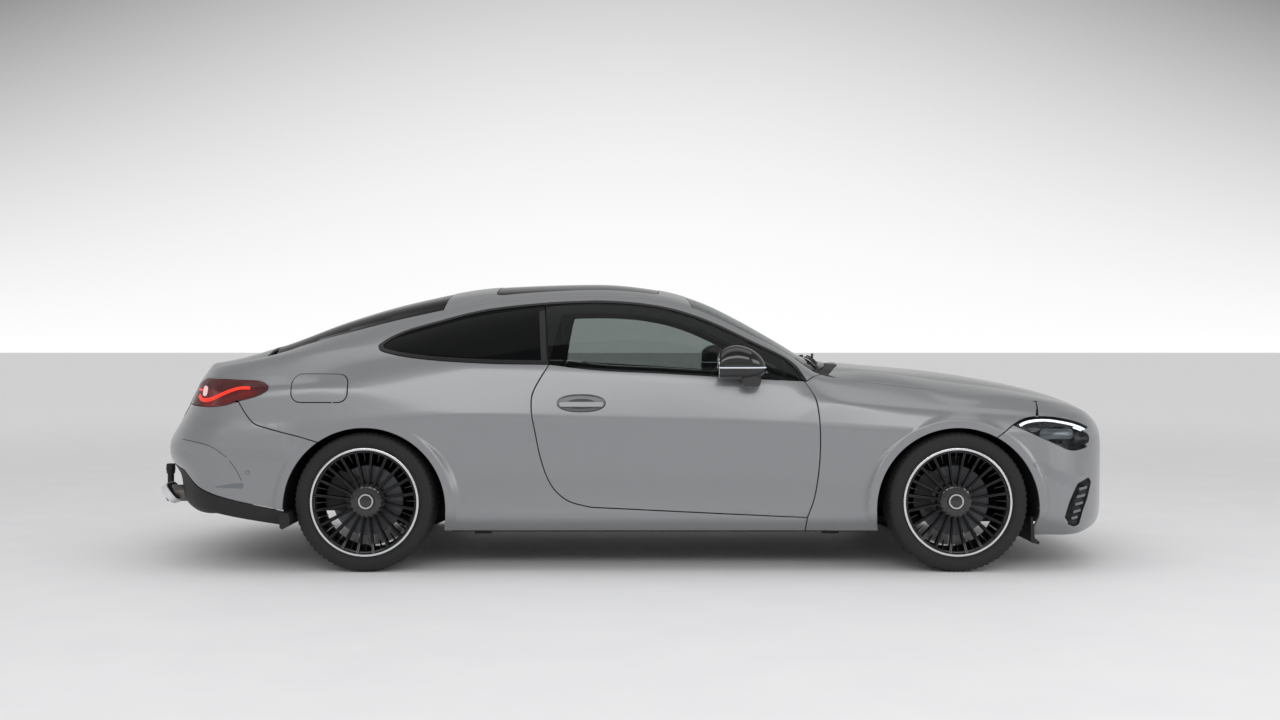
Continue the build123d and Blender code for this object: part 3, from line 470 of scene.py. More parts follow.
def triangles_in(loops, grid, extra_rows, extra_points):
    """Points and triangles that fill the first loop outside the other loops (holes): the loops' own
    points, then a grid of rows, joined by constrained Delaunay triangulation."""
    loops = [loop if (area(loop) > 0) == (i == 0) else loop[::-1] for i, loop in enumerate(loops)]
    low, high = loops[0].min(0), loops[0].max(0)
    levels = np.arange(low[1], high[1], grid)
    extra = np.array([e for e in extra_rows if low[1] < e < high[1]])
    if len(extra):
        far = np.abs(levels[:, None] - extra).min(1) > 0.35 * grid
        levels = np.sort(np.concatenate([levels[far], extra]))
    columns = np.arange(low[0], high[0], grid)
    fill = np.array([(x + (i % 2) * grid / 2, y) for i, y in enumerate(levels) for x in columns])
    if extra_points is not None:
        near = in_chunks(lambda p: np.hypot(*(p[:, None] - extra_points).transpose(2, 0, 1)).min(1),
                         fill, 500)
        fill = np.vstack([fill[near > POINT_ROOM], extra_points])
    fill = fill[inside(fill, loops[0])] if len(fill) else fill.reshape(0, 2)
    for i, loop in enumerate(loops):
        if i and len(fill):
            fill = fill[~inside(fill, loop)]
        if len(fill):
            fill = fill[in_chunks(lambda p: clearance(p, loop), fill, 2000) > EDGE_ROOM]
    points = np.vstack(loops + [fill])
    starts = np.cumsum([0] + [len(loop) for loop in loops])
    edges = [(int(a + i), int(a + (i + 1) % len(loop))) for a, loop in zip(starts, loops)
             for i in range(len(loop))]
    solved = delaunay_2d_cdt([tuple(p) for p in points], edges, [], 0, 1e-7)
    found, faces = np.array([tuple(v) for v in solved[0]]), np.array(solved[2])
    if len(found) != len(points) or np.abs(found - points).max() > 1e-6:
        raise ValueError("an outline crosses itself")
    centres = found[faces].mean(1)
    keep = inside(centres, loops[0])
    for loop in loops[1:]:
        keep &= ~inside(centres, loop)
    faces = faces[keep]
    a, b, c = found[faces].transpose(1, 0, 2)
    flat = (b[:, 0] - a[:, 0]) * (c[:, 1] - a[:, 1]) - (b[:, 1] - a[:, 1]) * (c[:, 0] - a[:, 0])
    faces[flat < 0] = faces[flat < 0][:, ::-1]
    return found, faces[np.abs(flat) > 1e-10], loops


def mesh_object(name, points, faces, normals=None, materials=(), face_material=None, smooth=True):
    """An object of triangles or quads from arrays, with normals of its own where they are given."""
    mesh = bpy.data.meshes.new(name)
    faces = faces.tolist() if isinstance(faces, np.ndarray) else faces
    mesh.from_pydata(np.asarray(points).tolist(), [], faces)
    for material in materials:
        mesh.materials.append(material)
    mesh.polygons.foreach_set("use_smooth", np.full(len(mesh.polygons), smooth))
    if face_material is not None:
        mesh.polygons.foreach_set("material_index", np.asarray(face_material, dtype=np.int32))
    mesh.update()
    if normals is not None:
        mesh.normals_split_custom_set_from_vertices(np.asarray(normals).tolist())
    obj = bpy.data.objects.new(name, mesh)
    bpy.context.scene.collection.objects.link(obj)
    return obj


def sheet(loops, rays, thick, gap=4, roll=3, sink=0, extra_rows=EXTRA_ROWS, grid=21, extra_points=None):
    """A curved plate on the skin: outer face, rolled edge half a shut gap inside the outline, and inner
    face. Gives points, triangles, normals and which triangles are on the inner side."""
    gap, roll = gap * MM, roll * MM
    flat, faces, loops = triangles_in(loops, grid * MM, extra_rows, extra_points)
    skin = lift(flat, rays)
    normal = normals_at(skin)
    skin = skin - normal * (sink * MM)
    depth = (thick(skin) if callable(thick) else np.full(len(skin), thick)) * MM
    outer, rings, ring_normals, ring_faces, at = skin.copy(), [], [], [], 0
    count = len(skin)
    base = 2 * count
    for loop in loops:
        n = len(loop)
        ids = np.arange(at, at + n)
        at += n
        tangent = np.roll(skin[ids], -1, axis=0) - np.roll(skin[ids], 1, axis=0)
        out = np.cross(tangent, normal[ids])
        out /= np.maximum(np.linalg.norm(out, axis=1, keepdims=True), 1e-9)
        outer[ids] = skin[ids] - out * (gap / 2 + roll)
        rise = normal[ids]
        edge = skin[ids] - out * (gap / 2)
        levels = [(edge - out * 0.3 * roll - rise * 0.3 * roll, (rise + out) / math.sqrt(2)),
                  (edge - rise * roll, out), (edge - rise * depth[ids, None], out)]
        ring_ids = [ids] + [base + np.arange(n) + i * n for i in range(3)] + [count + ids]
        base += 3 * n
        rings += [level for level, _ in levels]
        ring_normals += [way for _, way in levels]
        for a, b in zip(ring_ids, ring_ids[1:]):
            a2, b2 = np.roll(a, -1), np.roll(b, -1)
            ring_faces += [np.stack([a, b, b2], axis=1), np.stack([a, b2, a2], axis=1)]
    inner = outer - normal * depth[:, None]
    points = np.vstack([outer, inner] + rings)
    normals = np.vstack([normal, -normal] + ring_normals)
    all_faces = np.vstack([faces, faces[:, ::-1] + count] + ring_faces)
    is_inner = np.repeat([0, 1, 0], [len(faces), len(faces), len(all_faces) - 2 * len(faces)])
    return points, all_faces, normals, is_inner


def mirrored(points, faces, normals, tags):
    """The left-hand twin of a sheet."""
    flip = np.array([1, -1, 1])
    return points * flip, faces[:, ::-1], normals * flip, tags


def joined(*pieces):
    """Several sheets as one."""
    starts = np.cumsum([0] + [len(p[0]) for p in pieces])
    return (np.vstack([p[0] for p in pieces]), np.vstack([p[1] + s for p, s in zip(pieces, starts)]),
            np.vstack([p[2] for p in pieces]), np.concatenate([p[3] for p in pieces]))


def both(data):
    """A sheet and its mirror image as one piece."""
    return joined(data, mirrored(*data))


def hand_over(obj, body_name, replaces=()):
    """Ties a piece to its moving body, in place of the solids that it stands for."""
    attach(obj, body_name)
    if replaces:
        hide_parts(*replaces)
    return obj


def fit(name, data, materials, body_name, replaces=()):
    """Makes a piece from a sheet, with a second material on its inner side, and hands it over."""
    points, faces, normals, tags = data
    obj = mesh_object(name, points, faces, normals, materials, tags if len(materials) > 1 else None)
    return hand_over(obj, body_name, replaces)


# ---------------- outer panels
# Steel sides and doors with aluminium bonnet and lid, 0.8 mm sheet hemmed round an inner
# frame, with 4 mm shut gaps, sprayed silver-grey. The doors' front edge stands behind the
# wheel arch and their rear edge sweeps round to the handle.
def linear(hex_colour):
    """An sRGB hex colour as linear red, green, blue and alpha."""
    parts = [int(hex_colour[i:i + 2], 16) / 255 for i in (1, 3, 5)]
    return tuple(c / 12.92 if c <= 0.04045 else ((c + 0.055) / 1.055) ** 2.4 for c in parts) + (1.0,)


def node(tree, kind, settings=(), **inputs):
    """Adds a node, sets its settings, and sets or links its inputs by name, with spaces as underscores,
    or by number as i0, i1 and so on."""
    new = tree.nodes.new("ShaderNode" + kind)
    for name, value in dict(settings).items():
        setattr(new, name, value)
    for name, value in inputs.items():
        numbered = name[0] == "i" and name[1:].isdigit()
        socket = new.inputs[int(name[1:]) if numbered else name.replace("_", " ")]
        if isinstance(value, bpy.types.NodeSocket):
            tree.links.new(value, socket)
        else:
            socket.default_value = value
    return new


def place_of(tree):
    """The Object coordinates of a material, in metres."""
    return node(tree, "TexCoord").outputs["Object"]


def speckle(tree, shader, dark, light, size, detail=2.0):
    """Colours a finish between two hex colours with soft noise of a size in mm."""
    noise = node(tree, "TexNoise", Vector=place_of(tree), Scale=1 / (size * MM), Detail=detail)
    mix = node(tree, "Mix", {"data_type": "RGBA"}, Factor=noise.outputs["Fac"],
               i6=linear(dark), i7=linear(light))
    tree.links.new(mix.outputs[2], shader.inputs["Base Color"])


def roughen(tree, shader, size, depth, strength=0.5):
    """Raises a soft grain of a size and depth in mm."""
    noise = node(tree, "TexNoise", Vector=place_of(tree), Scale=1 / (size * MM), Detail=3.0)
    bump = node(tree, "Bump", Height=noise.outputs["Fac"], Distance=depth * MM, Strength=strength)
    tree.links.new(bump.outputs["Normal"], shader.inputs["Normal"])


def finish(name, colour, rough, metal=0.0, tint=None, grain=None, glow=None, **extra):
    """A material: its colour, roughness and metallic share, a tint (dark, light, size), a grain (size,
    depth), the colour that it glows in, and other inputs of the shader by name."""
    material = bpy.data.materials.new(name)
    material.use_nodes = True
    tree = material.node_tree
    shader = tree.nodes["Principled BSDF"]
    values = {"Base Color": linear(colour), "Roughness": rough, "Metallic": metal, **extra}
    if glow:
        values["Emission Color"] = linear(glow)
    for socket_name, value in values.items():
        shader.inputs[socket_name.replace("_", " ")].default_value = value
    if tint:
        speckle(tree, shader, *tint)
    if grain:
        roughen(tree, shader, *grain)
    return material


# Aluminium flakes under a clear coat give a soft sheen with a sharper one over it. They are
# a few hundredths of a millimetre wide, drawn at 1.5 mm, as coarse as they need to show.
body_paint = finish("satin metallic silver paint, clear coated", "#8b8c8e", 0.36, 0.42,
                    ("#858688", "#919295", 1.5), Coat_Weight=0.7, Coat_Roughness=0.12)
# Moulded plastic with a pressed leather grain: dull, with no clear highlight.
grained_black = finish("grained black moulded plastic", "#151516", 0.62,
                       tint=("#131314", "#19191a", 9), grain=(1.2, 0.25))
# Knitted cloth on foam: flat and soft, with a faint bright edge from its fibres.
cabin_cloth = finish("pale grey woven headlining", "#55565a", 0.9, tint=("#4d4e52", "#5e5f63", 3),
                     grain=(2, 0.3), Sheen_Weight=0.3, Sheen_Roughness=0.5)


def panel(name, outlines, rays, body_name, replaces=(), thick=12, materials=None,
          slot="body_paint", twin=False, **cut):
    """A painted plate from its outlines; with twin, its mirror image is in the same piece."""
    data = sheet(outlines, rays, thick, **cut)
    return fit(name, both(data) if twin else data, materials or [body_paint, grained_black], body_name,
               replaces)


DOOR_FRONT = front((-736, 922), (-706, 880), (-682, 832), (-663, 640), (-668, 495), (-692, 351),
                   (-726, 262))
DOOR_REAR = rear((1090, 312), (985, 341), (922, 389), (884, 447), (850, 543), (821, 687), (806, 784),
                 (811, 861), (888, 1003))
WINDOW_FRONT = front((-721, 921))
BELT_RISE, RAIL_FRAME = 8 * MM, 25 * MM
WINDOW_X = FRONT + np.array([-1750, -1430, -1225, -995, -780]) * MM
belt = np.stack([WINDOW_X[:4], key(WAIST_Z, WINDOW_X[:4]) + BELT_RISE], axis=1)
door_front, door_rear = side_line(curve(DOOR_FRONT)), side_line(curve(DOOR_REAR))
door_foot = side_line(straight([DOOR_FRONT[-1], DOOR_REAR[0]]))
belt_line = side_line(curve(np.vstack([DOOR_REAR[-1:], belt, DOOR_FRONT[:1]])))
door = closed(door_front, door_foot, door_rear, belt_line)

# The front wing ends at the bumper's cut, which climbs from the arch to the lamp's tip and
# follows the lamp's crown to the bonnet.
SILL_Z = 190 * MM
FRONT_CUT_TURN, REAR_CUT_TURN, WING_CORNER = 61.7, 124.3, front((184.9, 648.4))
HEADLAMP_TOP = front((266, 713), (310, 738), (360, 750), (430, 752), (520, 741), (603, 720), (664, 695))
LAMP_TOP_SHARE = 0.32
BONNET_SIDE = front((420, 745), (-560, 735), (-640, 730))
arch_foot = math.degrees(math.asin((ARCH_Z - SILL_Z) / ARCH_RADIUS))
sill_end = np.array([(FRONT - 730 * MM, SILL_Z)])
sill_split = side_line(straight(np.vstack([DOOR_FRONT[-1:], sill_end])))
front_arc = side_line(arc(FRONT, ARCH_Z, ARCH_RADIUS, 180 + arch_foot, FRONT_CUT_TURN))
lamp_crown = side_line(curve(HEADLAMP_TOP))
lamp_split = int(len(lamp_crown) * LAMP_TOP_SHARE)
wing_corner = side_line(straight(np.vstack([WING_CORNER, HEADLAMP_TOP[:1]])))
fender_cut = np.vstack([wing_corner, lamp_crown[1:lamp_split]])
bonnet_side = plan_line(straight(BONNET_SIDE))
fender_top = side_line(straight(np.vstack([WINDOW_FRONT, DOOR_FRONT[:1]])))
fender = closed(door_front, sill_split, front_arc, fender_cut, bonnet_side, fender_top)

# The body side runs from the door round the tail lamp to the lid, and up to the roof.
LID_FRONT, LID_HALF, LID_FOOT_Z = REAR - 550 * MM, 600 * MM, 745 * MM
LID_CORNER = (LID_FRONT + 40 * MM, LID_HALF)
TAIL_LAMP = rear((-628, 822), (-506, 857), (-466, 888), (-496, 915), (-700, 930), (-790, 931))
LAMP_BACK = np.array([(690, 931), (664, 915), (650, 880), (655, 840), (690, 803)]) * MM
LAMP_SILL = np.array([(690, 803), (600, 800)]) * MM
REAR_CUT = rear((-612, 826), (-567, 758), (-529, 719), (-461, 695), (-330, 660), (-220, 627))
DECK_SIDE = rear((-120, 575), (130, 548), (330, 535))
ROOF_RAIL = np.vstack([rear((330, 535), (575, 532)), front((-1430, 535), (-1255, 556), (-1000, 632),
                                                           (-780, 700), (-640, 730))])
WINDOW_TIP = rear((575, 1279), (302, 1211), (155, 1165), (80, 1126), (46, 1097), (57, 1074),
                  (120, 1053), (265, 1030), (575, 1009), (888, 1003))
lamp_nose, lamp_top = side_line(curve(TAIL_LAMP[:5])), side_line(curve(TAIL_LAMP[4:]))
lamp_back = unroll(tail_points(curve(LAMP_BACK)))
rear_cut = side_line(curve(REAR_CUT))
rear_arch = side_line(arc(REAR, ARCH_Z, ARCH_RADIUS, -arch_foot, REAR_CUT_TURN))
deck_edge_x = tail_points([(LID_HALF, 990 * MM)])[0, 0]
lid_back_edge = unroll(tail_points(straight(np.vstack([LAMP_SILL, [(LID_HALF, 985 * MM)]]), 8)))
lid_side = np.vstack([lid_back_edge[1:],
                      plan_line(straight([(deck_edge_x + 12 * MM, LID_HALF), LID_CORNER])),
                      plan_line(curve(np.vstack([[LID_CORNER], DECK_SIDE])))])
window_top = np.stack([WINDOW_X, ROOF - key(RAIL_DROP, WINDOW_X) - RAIL_FRAME], axis=1)[::-1]
window_edge = curve(np.vstack([WINDOW_FRONT, window_top, WINDOW_TIP[:5]]))
window_line, quarter_foot = side_line(window_edge), side_line(curve(WINDOW_TIP[4:]))
sill_foot = side_line(straight(np.vstack([sill_end, [(REAR + 374 * MM, SILL_Z)]]), 20))
pillar_foot = np.vstack([bonnet_side[-1:], fender_top[:1]])
side_outline = closed(sill_foot, rear_arch, rear_cut[::-1], lamp_nose, lamp_top, lamp_back, lid_side,
                      plan_line(curve(ROOF_RAIL)), pillar_foot, window_line, quarter_foot,
                      door_rear[::-1], door_foot[::-1], sill_split)


def rounded_box(x0, x1, z0, z1, radius):
    """A box outline with round corners."""
    corners = ((x1 - radius, z1 - radius, 0), (x0 + radius, z1 - radius, 90),
               (x0 + radius, z0 + radius, 180), (x1 - radius, z0 + radius, 270))
    turns = [(cx, cz, np.radians(np.linspace(start, start + 90, 8))) for cx, cz, start in corners]
    return np.vstack([np.stack([cx + radius * np.cos(a), cz + radius * np.sin(a)], axis=1)
                      for cx, cz, a in turns])


def oval(count, half_width, half_height, power=1.0, rise_power=None):
    """Points round a superellipse: the half sizes times cosine and sine, each raised to a power with
    its sign kept, so that a power under 1 makes it squarer."""
    a = np.linspace(0, 2 * math.pi, count + 1)[:-1]
    c, s = np.cos(a), np.sin(a)
    return np.stack([half_width * np.sign(c) * np.abs(c) ** power,
                     half_height * np.sign(s) * np.abs(s) ** (rise_power or power)], axis=1)


def side_depth(skin):
    """Depth of the body side: deep at the pillars and rails round the door, a thin wing elsewhere."""
    ahead = np.clip((skin[:, 0] - (REAR + 500 * MM)) / (250 * MM), 0, 1)
    return 12 + 34 * ahead


FLAP_X, FLAP_Z, FLAP_CORNER = (REAR - 354 * MM, REAR - 82 * MM), (820 * MM, 956 * MM), 44 * MM
HANDLE_AT = front((-1818, 815.5))[0]
flap = closed(side_line(rounded_box(*FLAP_X, *FLAP_Z, FLAP_CORNER)), soft=0)
handle_oval = oval(89, 115 * MM, 40 * MM, 0.85, 0.95)
handle_hole = closed(side_line(HANDLE_AT + handle_oval), soft=0, step=5)

# Rows of points along the edge of the flat band round each arch, and along each ridge, so
# that both stay crisp, as distances out of the edge and up from the ridge in millimetres.
ARCH_ROWS, RIDGE_ROWS = (-9, -1, 5, 12, 20, 30), (-12, -4, 4, 12)
arch_lines = [side_line(arc(axle, ARCH_Z, ARCH_RADIUS + ARCH_BAND + out * MM, -20, 200))
              for axle in (FRONT, REAR) for out in ARCH_ROWS]
ridge_lines = [side_line(curve(line + [axle, up * MM]))
               for axle, line in ((REAR, TAIL_RIDGE), (FRONT, NOSE_RIDGE)) for up in RIDGE_ROWS]
crisp_rows = np.vstack([line[::2] for line in arch_lines + ridge_lines])

right_side = sheet([side_outline, flap], side_rays, side_depth, extra_points=crisp_rows)
left_side = mirrored(*sheet([side_outline], side_rays, side_depth, extra_points=crisp_rows))
fit("body_sides", joined(right_side, left_side), [body_paint, cabin_cloth], "body",
    ["body_shell"])
panel("front_wings", [fender], side_rays, "body", ["front_fenders"], twin=True,
      extra_points=crisp_rows)
panel("fuel_flap_skin", [flap], side_rays, "fuel_flap", ["fuel_flap"], thick=3, roll=1.5)
door_sheet = sheet([door, handle_hole], side_rays, 14)
card_sheet = sheet([door], side_rays, 5, gap=44, sink=15, extra_rows=(), grid=40)
for side_name in ("right", "left"):
    skin, card = door_sheet, card_sheet
    if side_name == "left":
        skin, card = mirrored(*skin), mirrored(*card)
    body_name = f"door_{side_name}"
    fit(f"door_skin_{side_name}", skin, [body_paint, grained_black], body_name, [body_name])
    fit(f"door_card_{side_name}", card, [cabin_cloth, grained_black], body_name)

BONNET_REAR = front((-478, 0), (-490, 200), (-520, 400), (-575, 600), (-600, 690))
BONNET_NOSE = front((-560, 735), (380, 745), (540, 722), (640, 690), (742, 560), (783, 380), (802, 190),
                    (808, 0))


def both_sides(*runs):
    """A closed plan outline from runs of its right half, which starts and ends on the centre line."""
    half = np.vstack(runs)
    return np.vstack([half, (half * [1, -1])[::-1][1:-1]])


bonnet_plan = closed(both_sides(curve(BONNET_REAR), straight(BONNET_NOSE[:2]), curve(BONNET_NOSE[1:])))
panel("bonnet_skin", [bonnet_plan], plan_rays, "bonnet", ["bonnet"], extra_rows=(), grid=26)

# ---------------- boot lid
# A pressed aluminium lid that wraps over the tail, with its rear edge turned up into a
# small lip bonded on and painted with it.
lid_back = tail_points(np.stack([np.linspace(LID_HALF, 0, 40), np.full(40, LID_FOOT_Z)], axis=1))
lid_plan = closed(both_sides(straight([(LID_FRONT, 0), (LID_FRONT, LID_HALF)]), lid_back[:, :2] * [1, -1]))
panel("boot_lid_skin", [lid_plan], plan_rays, "boot_lid", ["boot_lid"], extra_rows=(), grid=22)


def ring_faces(rings, n, wrap=False):
    """Quads between rings of n points, from the last ring back to the first too with wrap."""
    r, i = (a.ravel() for a in np.meshgrid(np.arange(rings if wrap else rings - 1), np.arange(n),
                                           indexing="ij"))
    s, j = (r + 1) % rings, (i + 1) % n
    return np.stack([r * n + i, r * n + j, s * n + j, s * n + i], axis=1).tolist()


def swept(sections):
    """Points and faces of a bar through rings of points, all of one count, with closed ends."""
    rings = np.asarray(sections, float)
    count, n = rings.shape[:2]
    last = (count - 1) * n
    return rings.reshape(-1, 3), ring_faces(count, n) + [list(range(n)), list(range(last, last + n))[::-1]]


def built(name, pieces, material, body_name, replaces=(), sharp=38):
    """A piece from (points, faces) parts, with sharp edges found by angle in degrees."""
    starts = np.cumsum([0] + [len(p) for p, _ in pieces])
    faces = [[v + int(s) for v in face] for s, (_, found) in zip(starts, pieces) for face in found]
    obj = mesh_object(name, np.vstack([p for p, _ in pieces]), faces, None, [material])
    shape = bmesh.new()
    shape.from_mesh(obj.data)
    bmesh.ops.recalc_face_normals(shape, faces=shape.faces)
    shape.to_mesh(obj.data)
    shape.free()
    obj.data.set_sharp_from_angle(angle=math.radians(sharp))
    return hand_over(obj, body_name, replaces)


# The lip's section: out from the deck over a crest, and back down the tail. It fades at
# both ends by the sixth power of its place across.
lip_y = np.linspace(-0.94 * LID_HALF, 0.94 * LID_HALF, 61)
out_y = np.abs(lip_y)
deck_z = lift(np.stack([np.full(61, TAIL + 140 * MM), out_y], axis=1), plan_rays)[:, 2]
lip_edge = tail_points(np.stack([out_y, deck_z - 20 * MM], axis=1))
lip_top = lift(np.stack([lip_edge[:, 0] + 85 * MM, out_y], axis=1), plan_rays)
lip_low = tail_points(np.stack([out_y, deck_z - 46 * MM], axis=1))
fade = (1 - np.abs(lip_y / LID_HALF) ** 6)[:, None]
crest = lip_edge + np.array([-4, 0, 26]) * MM * fade + np.array([6, 0, -2]) * MM * (1 - fade)
slope_point = lip_top + (crest - lip_top) * 0.45 - np.array([0, 0, 3 * MM]) * fade
lip_rows = np.stack([lip_top - [0, 0, 1.5 * MM], slope_point, crest + [3 * MM, 0, 1 * MM],
                     crest - [0, 0, 1.5 * MM], lip_low + [2 * MM, 0, 0], lip_low + [30 * MM, 0, 0],
                     lip_top - [0, 0, 18 * MM]], axis=1)
lip_rows[:, :, 1] = lip_y[:, None]
built("spoiler_lip", [swept(lip_rows)], body_paint, "boot_lid", sharp=50)

# ---------------- roof
# A pressed steel roof between two rails, with a bonded dark glass panel in the middle and
# pale cloth headlining under it.
ROOF_CORNER = rear((330, 535))
ROOF_FRONT = front((-1290, 0), (-1287, 300), (-1270, 536))
ROOF_SIDE = np.vstack([front((-1270, 547), (-1430, 535)), rear((575, 532)), ROOF_CORNER])
ROOF_BACK = np.vstack([ROOF_CORNER, rear((340, 300), (345, 0))])
SKYLIGHT_X, SKYLIGHT_HALF = (REAR + 590 * MM, FRONT - 1440 * MM), 440 * MM
roof_plan = closed(both_sides(curve(ROOF_FRONT), curve(ROOF_SIDE), curve(ROOF_BACK)))
skylight_plan = closed(rounded_box(*SKYLIGHT_X, -SKYLIGHT_HALF, SKYLIGHT_HALF, 40 * MM), soft=0)
panel("roof_skin", [roof_plan, skylight_plan], plan_rays, "body", ["roof_panel"], thick=20,
      extra_rows=(), grid=30, materials=[body_paint, cabin_cloth])

# ---------------- bumpers
# Painted bumper skins of moulded plastic that wrap the nose and the tail, clipped to the
# wings, with openings for the lamps, the grille, the low intake and the side vents. A black
# valance closes the tail below.
HEADLAMP_END = np.array([(845, 680), (815, 657), (808, 642), (814, 626), (850, 610)]) * MM
HEADLAMP_FOOT = front((650, 602), (620, 594), (575, 588), (530, 594), (470, 620), (390, 656),
                      (330, 684), (266, 713))
lamp_edge = np.vstack([unroll(nose_points(curve(HEADLAMP_END))), side_line(curve(HEADLAMP_FOOT))])
headlamp = closed(lamp_crown, lamp_edge, soft=4)

# Angles of the arch at which each bumper starts and ends, and heights of the skins' feet
# round the ends by angle from the side.
NOSE_ARCH_FOOT, TAIL_ARCH_FOOT, VALANCE_ARCH_FOOT = -21.0, 181.2, 192.9
NOSE_FOOT = (8, 40, 90), (0.165, 0.200, 0.232)
TAIL_FOOT = (36, 60, 90), (0.300, 0.318, 0.326)
nose_foot = around_end(NOSE_START, 1, np.linspace(90, 8, 60), *NOSE_FOOT)
nose_arch = side_line(arc(FRONT, ARCH_Z, ARCH_RADIUS, NOSE_ARCH_FOOT, FRONT_CUT_TURN))
bonnet_lip = plan_line(np.vstack([straight(front((420, 745), (430, 745))), curve(BONNET_NOSE[1:])[3:]]))
front_bumper = across_centre(np.vstack([nose_foot, nose_arch, fender_cut[:1 - lamp_split],
                                        lamp_edge[::-1], lamp_crown[lamp_split:][::-1], bonnet_lip]),
                             NOSE_CENTRE)
GRILLE_TOP, GRILLE_FOOT = 688 * MM, 532 * MM
GRILLE_END = np.array([(500, 686), (560, 668), (583, 635), (572, 595), (520, 545), (490, 534)]) * MM
grille_half = np.vstack([straight([(0, GRILLE_TOP), (480 * MM, GRILLE_TOP)]), curve(GRILLE_END),
                         straight([(470 * MM, GRILLE_FOOT), (0, GRILLE_FOOT)])])
INTAKE_HALF = np.array([(0, 452), (500, 452), (555, 440), (560, 415), (500, 345), (460, 335), (0, 335)]) * MM
grille_hole, intake_hole = (across_centre(unroll(nose_points(half)), NOSE_CENTRE)
                            for half in (grille_half, straight(INTAKE_HALF)))
VENT = front((592, 423), (640, 440), (664, 446), (683, 423), (658, 352), (630, 298), (604, 222),
             (578, 212), (545, 226), (524, 262), (548, 335), (592, 423))
vent_hole = closed(side_line(straight(VENT)), soft=7)
panel("front_bumper_skin", [front_bumper, grille_hole, intake_hole, vent_hole,
                            other_side(vent_hole, NOSE_CENTRE)], side_rays, "body", ["front_bumper"],
      extra_points=np.vstack([crisp_rows, other_side(crisp_rows, NOSE_CENTRE)]))

VALANCE_TOP = rear((-390, 297), (-450, 309), (-628, 345), (-750, 378), (-824, 408), (-873, 446),
                   (-905, 482))
VALANCE_BACK = np.array([(700, 504), (560, 508), (300, 495), (0, 492)]) * MM
VALANCE_FOOT = rear((-380, 218), (-451, 230), (-571, 251), (-721, 279))
LAMP_FOOT = rear((-612, 826), (-680, 806), (-750, 798), (-840, 799))
LAMP_FOOT_BACK = np.array([(725, 800), (690, 803)]) * MM
valance_top = np.vstack([side_line(curve(VALANCE_TOP)), unroll(tail_points(curve(VALANCE_BACK)))])
valance_foot = np.vstack([side_line(curve(VALANCE_FOOT)),
                          around_end(TAIL_START, -1, np.linspace(36, 90, 40), *TAIL_FOOT)])
tail_arch = side_line(arc(REAR, ARCH_Z, ARCH_RADIUS, REAR_CUT_TURN, TAIL_ARCH_FOOT))
valance_arch = side_line(arc(REAR, ARCH_Z, ARCH_RADIUS, TAIL_ARCH_FOOT, VALANCE_ARCH_FOOT))
lamp_foot = np.vstack([side_line(curve(LAMP_FOOT)), unroll(tail_points(straight(LAMP_FOOT_BACK)))])
lamp_floor = unroll(tail_points(straight(LAMP_SILL, 8)))
lid_foot = unroll(tail_points(straight([LAMP_SILL[1], (LID_HALF, LID_FOOT_Z), (0, LID_FOOT_Z)])))
rear_bumper = across_centre(np.vstack([lid_foot[::-1], lamp_floor[::-1][1:-1], lamp_foot[::-1], rear_cut,
                                       tail_arch, valance_top]), TAIL_CENTRE)
valance = across_centre(np.vstack([valance_top[::-1], valance_arch, valance_foot]), TAIL_CENTRE)
panel("rear_bumper_skin", [rear_bumper], side_rays, "body", ["rear_bumper"],
      extra_points=np.vstack([crisp_rows, other_side(crisp_rows, TAIL_CENTRE)]))
panel("valance", [valance], side_rays, "body", materials=[grained_black, grained_black],
      slot="black_plastic")

# ---------------- glass
# Laminated windscreen and tempered side and rear windows, 5 mm thick, lightly tinted at
# the front and dark behind the middle pillar, bonded behind a black printed border.
GLASS = 5
# Float glass is clear with a green-grey cast. Its pane is modelled with both faces, so its
# index stays near 1 to keep what is behind in place, and a thin coat gives the reflection.
clear_glass = finish("lightly tinted laminated glass", "#aab0ae", 0.0,
                     tint=("#a8aeac", "#acb2b0", 60), Transmission_Weight=1.0, IOR=1.02,
                     Coat_Weight=0.25, Coat_Roughness=0.01)
# Privacy glass is dyed through: near black, with only a faint mirror image of the sky.
dark_glass = finish("dark privacy glass", "#08090a", 0.05, tint=("#0a0b0c", "#0d0e0f", 60), IOR=1.14)


def one_finish(data):
    """A sheet whose two sides share a material."""
    return data[:3] + (np.zeros(len(data[1])),)


def pane(name, outlines, rays, slot, material, replaces, twin=False, sunk=2, **cut):
    """A window pane of the body, bedded a little below the paint."""
    data = sheet(outlines, rays, GLASS, gap=3, roll=1, sink=sunk, extra_rows=(), **cut)
    fit(name, one_finish(both(data) if twin else data), [material], "body", replaces)


SCREEN_SIDE = front((-1268, 547), (-1255, 556), (-1000, 632), (-780, 700), (-690, 722))
SCREEN_FOOT = front((-676, 700), (-600, 500), (-562, 250), (-552, 0))
screen_plan = closed(both_sides(curve(ROOF_FRONT), curve(SCREEN_SIDE), curve(SCREEN_FOOT)), soft=8)
pane("windscreen_glass", [screen_plan], plan_rays, "window_glass", clear_glass, ["windscreen"], grid=28)
BACK_SIDE = rear((330, 533), (130, 547), (-120, 574), (-500, 600))
BACK_FOOT = rear((-505, 596), (-528, 400), (-541, 0))
back_plan = closed(both_sides(curve(ROOF_BACK)[::-1], curve(BACK_SIDE), curve(BACK_FOOT)), soft=8)
pane("rear_window_glass", [back_plan], plan_rays, "dark_glass", dark_glass, ["rear_window"], grid=28)
pane("roof_glass_pane", [skylight_plan], plan_rays, "dark_glass", dark_glass, ["roof_glass"], grid=30)


def offset(line, width):
    """A line of the side map moved over the skin by a width in mm, along the cross product of the
    skin's normal and the line's direction."""
    skin = lift(line, side_rays)
    across = np.cross(normals_at(skin), np.gradient(skin, axis=0))
    across /= np.linalg.norm(across, axis=1, keepdims=True)
    return unroll(skin + across * (width * MM))


